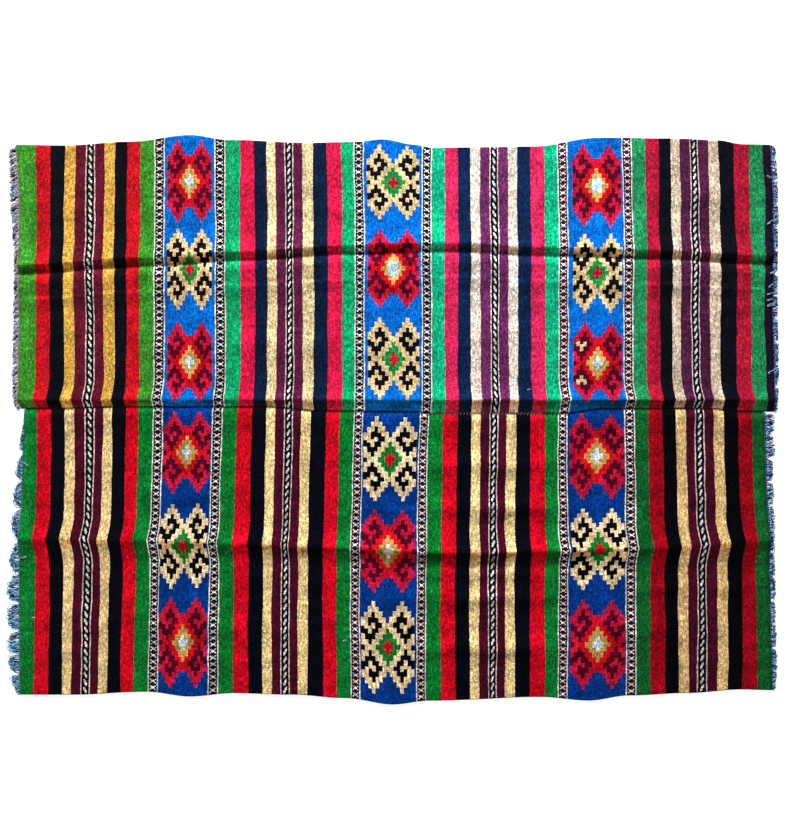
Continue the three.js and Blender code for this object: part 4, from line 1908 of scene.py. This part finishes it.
def lower_width() -> LoomWidth:
    """Plans the lower loom width.

    Returns:
        The width, not yet built.
    """
    return LoomWidth(
        name="lower_loom_width",
        node="panel_lower",
        side=-1,
        first_edge=-0.992,
        stripes=LOWER_STRIPES,
        motifs=LOWER_MOTIFS,
        border_charts=(BORDER_CHART, PLUM_BORDER_CHART, PLUM_BORDER_CHART),
        outer_edge=BOTTOM_EDGE,
        left_end=Reading((
            (-0.733, -0.994), (-0.420, -0.995), (-0.320, -0.993), (-0.210, -0.989),
            (-0.080, -0.985), (0.020, -0.979),
        )),
        right_end=Reading((
            (-0.733, 1.012), (-0.470, 1.005), (-0.310, 1.001), (-0.155, 0.994), (0.020, 0.989),
        )),
        sway_outer=Reading((
            (-0.915, -0.007), (-0.728, -0.009), (-0.381, -0.003), (-0.168, -0.001), (0.125, 0.0),
            (0.552, 0.0), (0.765, 0.002), (0.925, 0.003),
        )),
        sway_seam=Reading((
            (-0.915, 0.002), (-0.728, 0.0075), (-0.381, 0.009), (-0.168, 0.008), (0.125, 0.007),
            (0.285, 0.004), (0.552, -0.004), (0.765, -0.006), (0.925, -0.011),
        )),
        creases=(SEAM_LIP, QUARTER_RIDGE),
        dyes=LOWER_DYES_AND_PAINTED_SHADE,
        batch_dyes_and_light=LOWER_BATCHES_AND_PAINTED_SHADE,
        rows=264,
        seed=23,
        flat=(2.0, 0.765),
    )


PALE_LILAC = LoopStyle(
    dyes=((232, 234, 250), (206, 210, 238), (246, 246, 254), (170, 176, 220), (60, 68, 118)),
    under=((6, 8, 22), (12, 14, 36), (24, 26, 54)),
    heading=((226, 112, 104), (240, 188, 182)),
    lean=-0.010,
    open_width=(0.0009, 0.0017),
    pitch=0.0074,
    yarn_radius=0.00080,
    bunching=0.10,
)
SKY_BLUE = LoopStyle(
    dyes=((132, 198, 226), (86, 158, 202), (176, 220, 238), (52, 116, 158), (116, 180, 214)),
    under=((20, 46, 68), (34, 58, 76), (50, 84, 108)),
    heading=((140, 200, 222), (34, 70, 96)),
    open_width=(0.0022, 0.0042),
    pitch=0.0060,
)
PERIWINKLE = LoopStyle(
    dyes=((118, 164, 226), (76, 124, 200), (176, 206, 242), (46, 76, 146), (142, 184, 234)),
    under=((10, 6, 22), (18, 16, 42), (30, 34, 76)),
    heading=((64, 90, 156), (30, 18, 44)),
    open_width=(0.0014, 0.0030),
    pitch=0.0068,
    bunching=0.20,
)


def fringes(upper: LoomWidth, lower: LoomWidth) -> list[Fringe]:
    """Plans the four fringes of the rug.

    Args:
        upper: The upper loom width.
        lower: The lower loom width.

    Returns:
        The fringes of the upper width and then of the lower one, the left end first.
    """
    return [
        Fringe(
            "upper_left_loops", "fringe_upper_left", upper, -1, PALE_LILAC,
            Reading(((0.020, 0.010), (0.090, 0.018), (0.450, 0.017), (0.585, 0.025), (0.733, 0.021))),
            (0.062, 0.118, 0.186, 0.243, 0.309, 0.371, 0.428, 0.497, 0.560, 0.618, 0.684, 0.728), 51,
        ),
        Fringe(
            "upper_right_loops", "fringe_upper_right", upper, 1, PERIWINKLE,
            Reading(((0.020, 0.011), (0.345, 0.0145), (0.733, 0.0145))),
            (0.055, 0.121, 0.176, 0.239, 0.302, 0.358, 0.421, 0.485, 0.540, 0.607, 0.664, 0.722), 52,
            folded_back=(0.128, 0.306, 0.319, 0.335, 0.357, 0.391, 0.527, 0.645),
        ),
        Fringe(
            "lower_left_loops", "fringe_lower_left", lower, -1, SKY_BLUE,
            Reading((
                (-0.733, 0.014), (-0.655, 0.030), (-0.500, 0.032), (-0.320, 0.023),
                (-0.180, 0.021), (-0.080, 0.010), (0.020, 0.007),
            )),
            (-0.705, -0.649, -0.601, -0.526, -0.454, -0.369, -0.273, -0.200, -0.125, -0.050), 53,
            folded_back=(-0.369, -0.118),
        ),
        Fringe(
            "lower_right_loops", "fringe_lower_right", lower, 1, PERIWINKLE,
            Reading(((-0.733, 0.008), (-0.655, 0.013), (-0.320, 0.016), (-0.155, 0.020), (0.020, 0.026))),
            (-0.702, -0.643, -0.575, -0.516, -0.449, -0.388, -0.322, -0.264, -0.197, -0.136, -0.070,
             -0.012), 54,
        ),
    ]


def main() -> None:
    """Builds the rug around its frame, and reports the faces of the stitches and of the lint."""
    logging.basicConfig(level=logging.INFO, format="%(name)s: %(message)s")
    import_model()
    Viewpoint().place()
    Studio().build()
    heather = heather_group()
    cloth = WovenWool(ribs=rib_group()).material(heather)
    fringe_yarn = TwistedYarn(
        name="fringe_yarn", second_ply=(0.30, 0.44, 0.60, 1.0), twist_pitch=0.004
    ).material(heather)
    sewing_yarn = TwistedYarn(
        name="sewing_yarn", second_ply=(0.50, 0.40, 0.45, 1.0), twist_pitch=0.003
    ).material(heather)
    upper, lower = upper_width(), lower_width()
    for width in (upper, lower):
        width.build(cloth)
    for fringe in fringes(upper, lower):
        fringe.build(fringe_yarn)
    stitches = SeamStitches(upper, lower).build(sewing_yarn)
    lint = Lint().build((upper, lower), fringe_yarn)
    for piece in (stitches, lint):
        LOG.info("%s: %d faces", piece.name, len(piece.data.polygons))


if __name__ == "__main__":
    main()
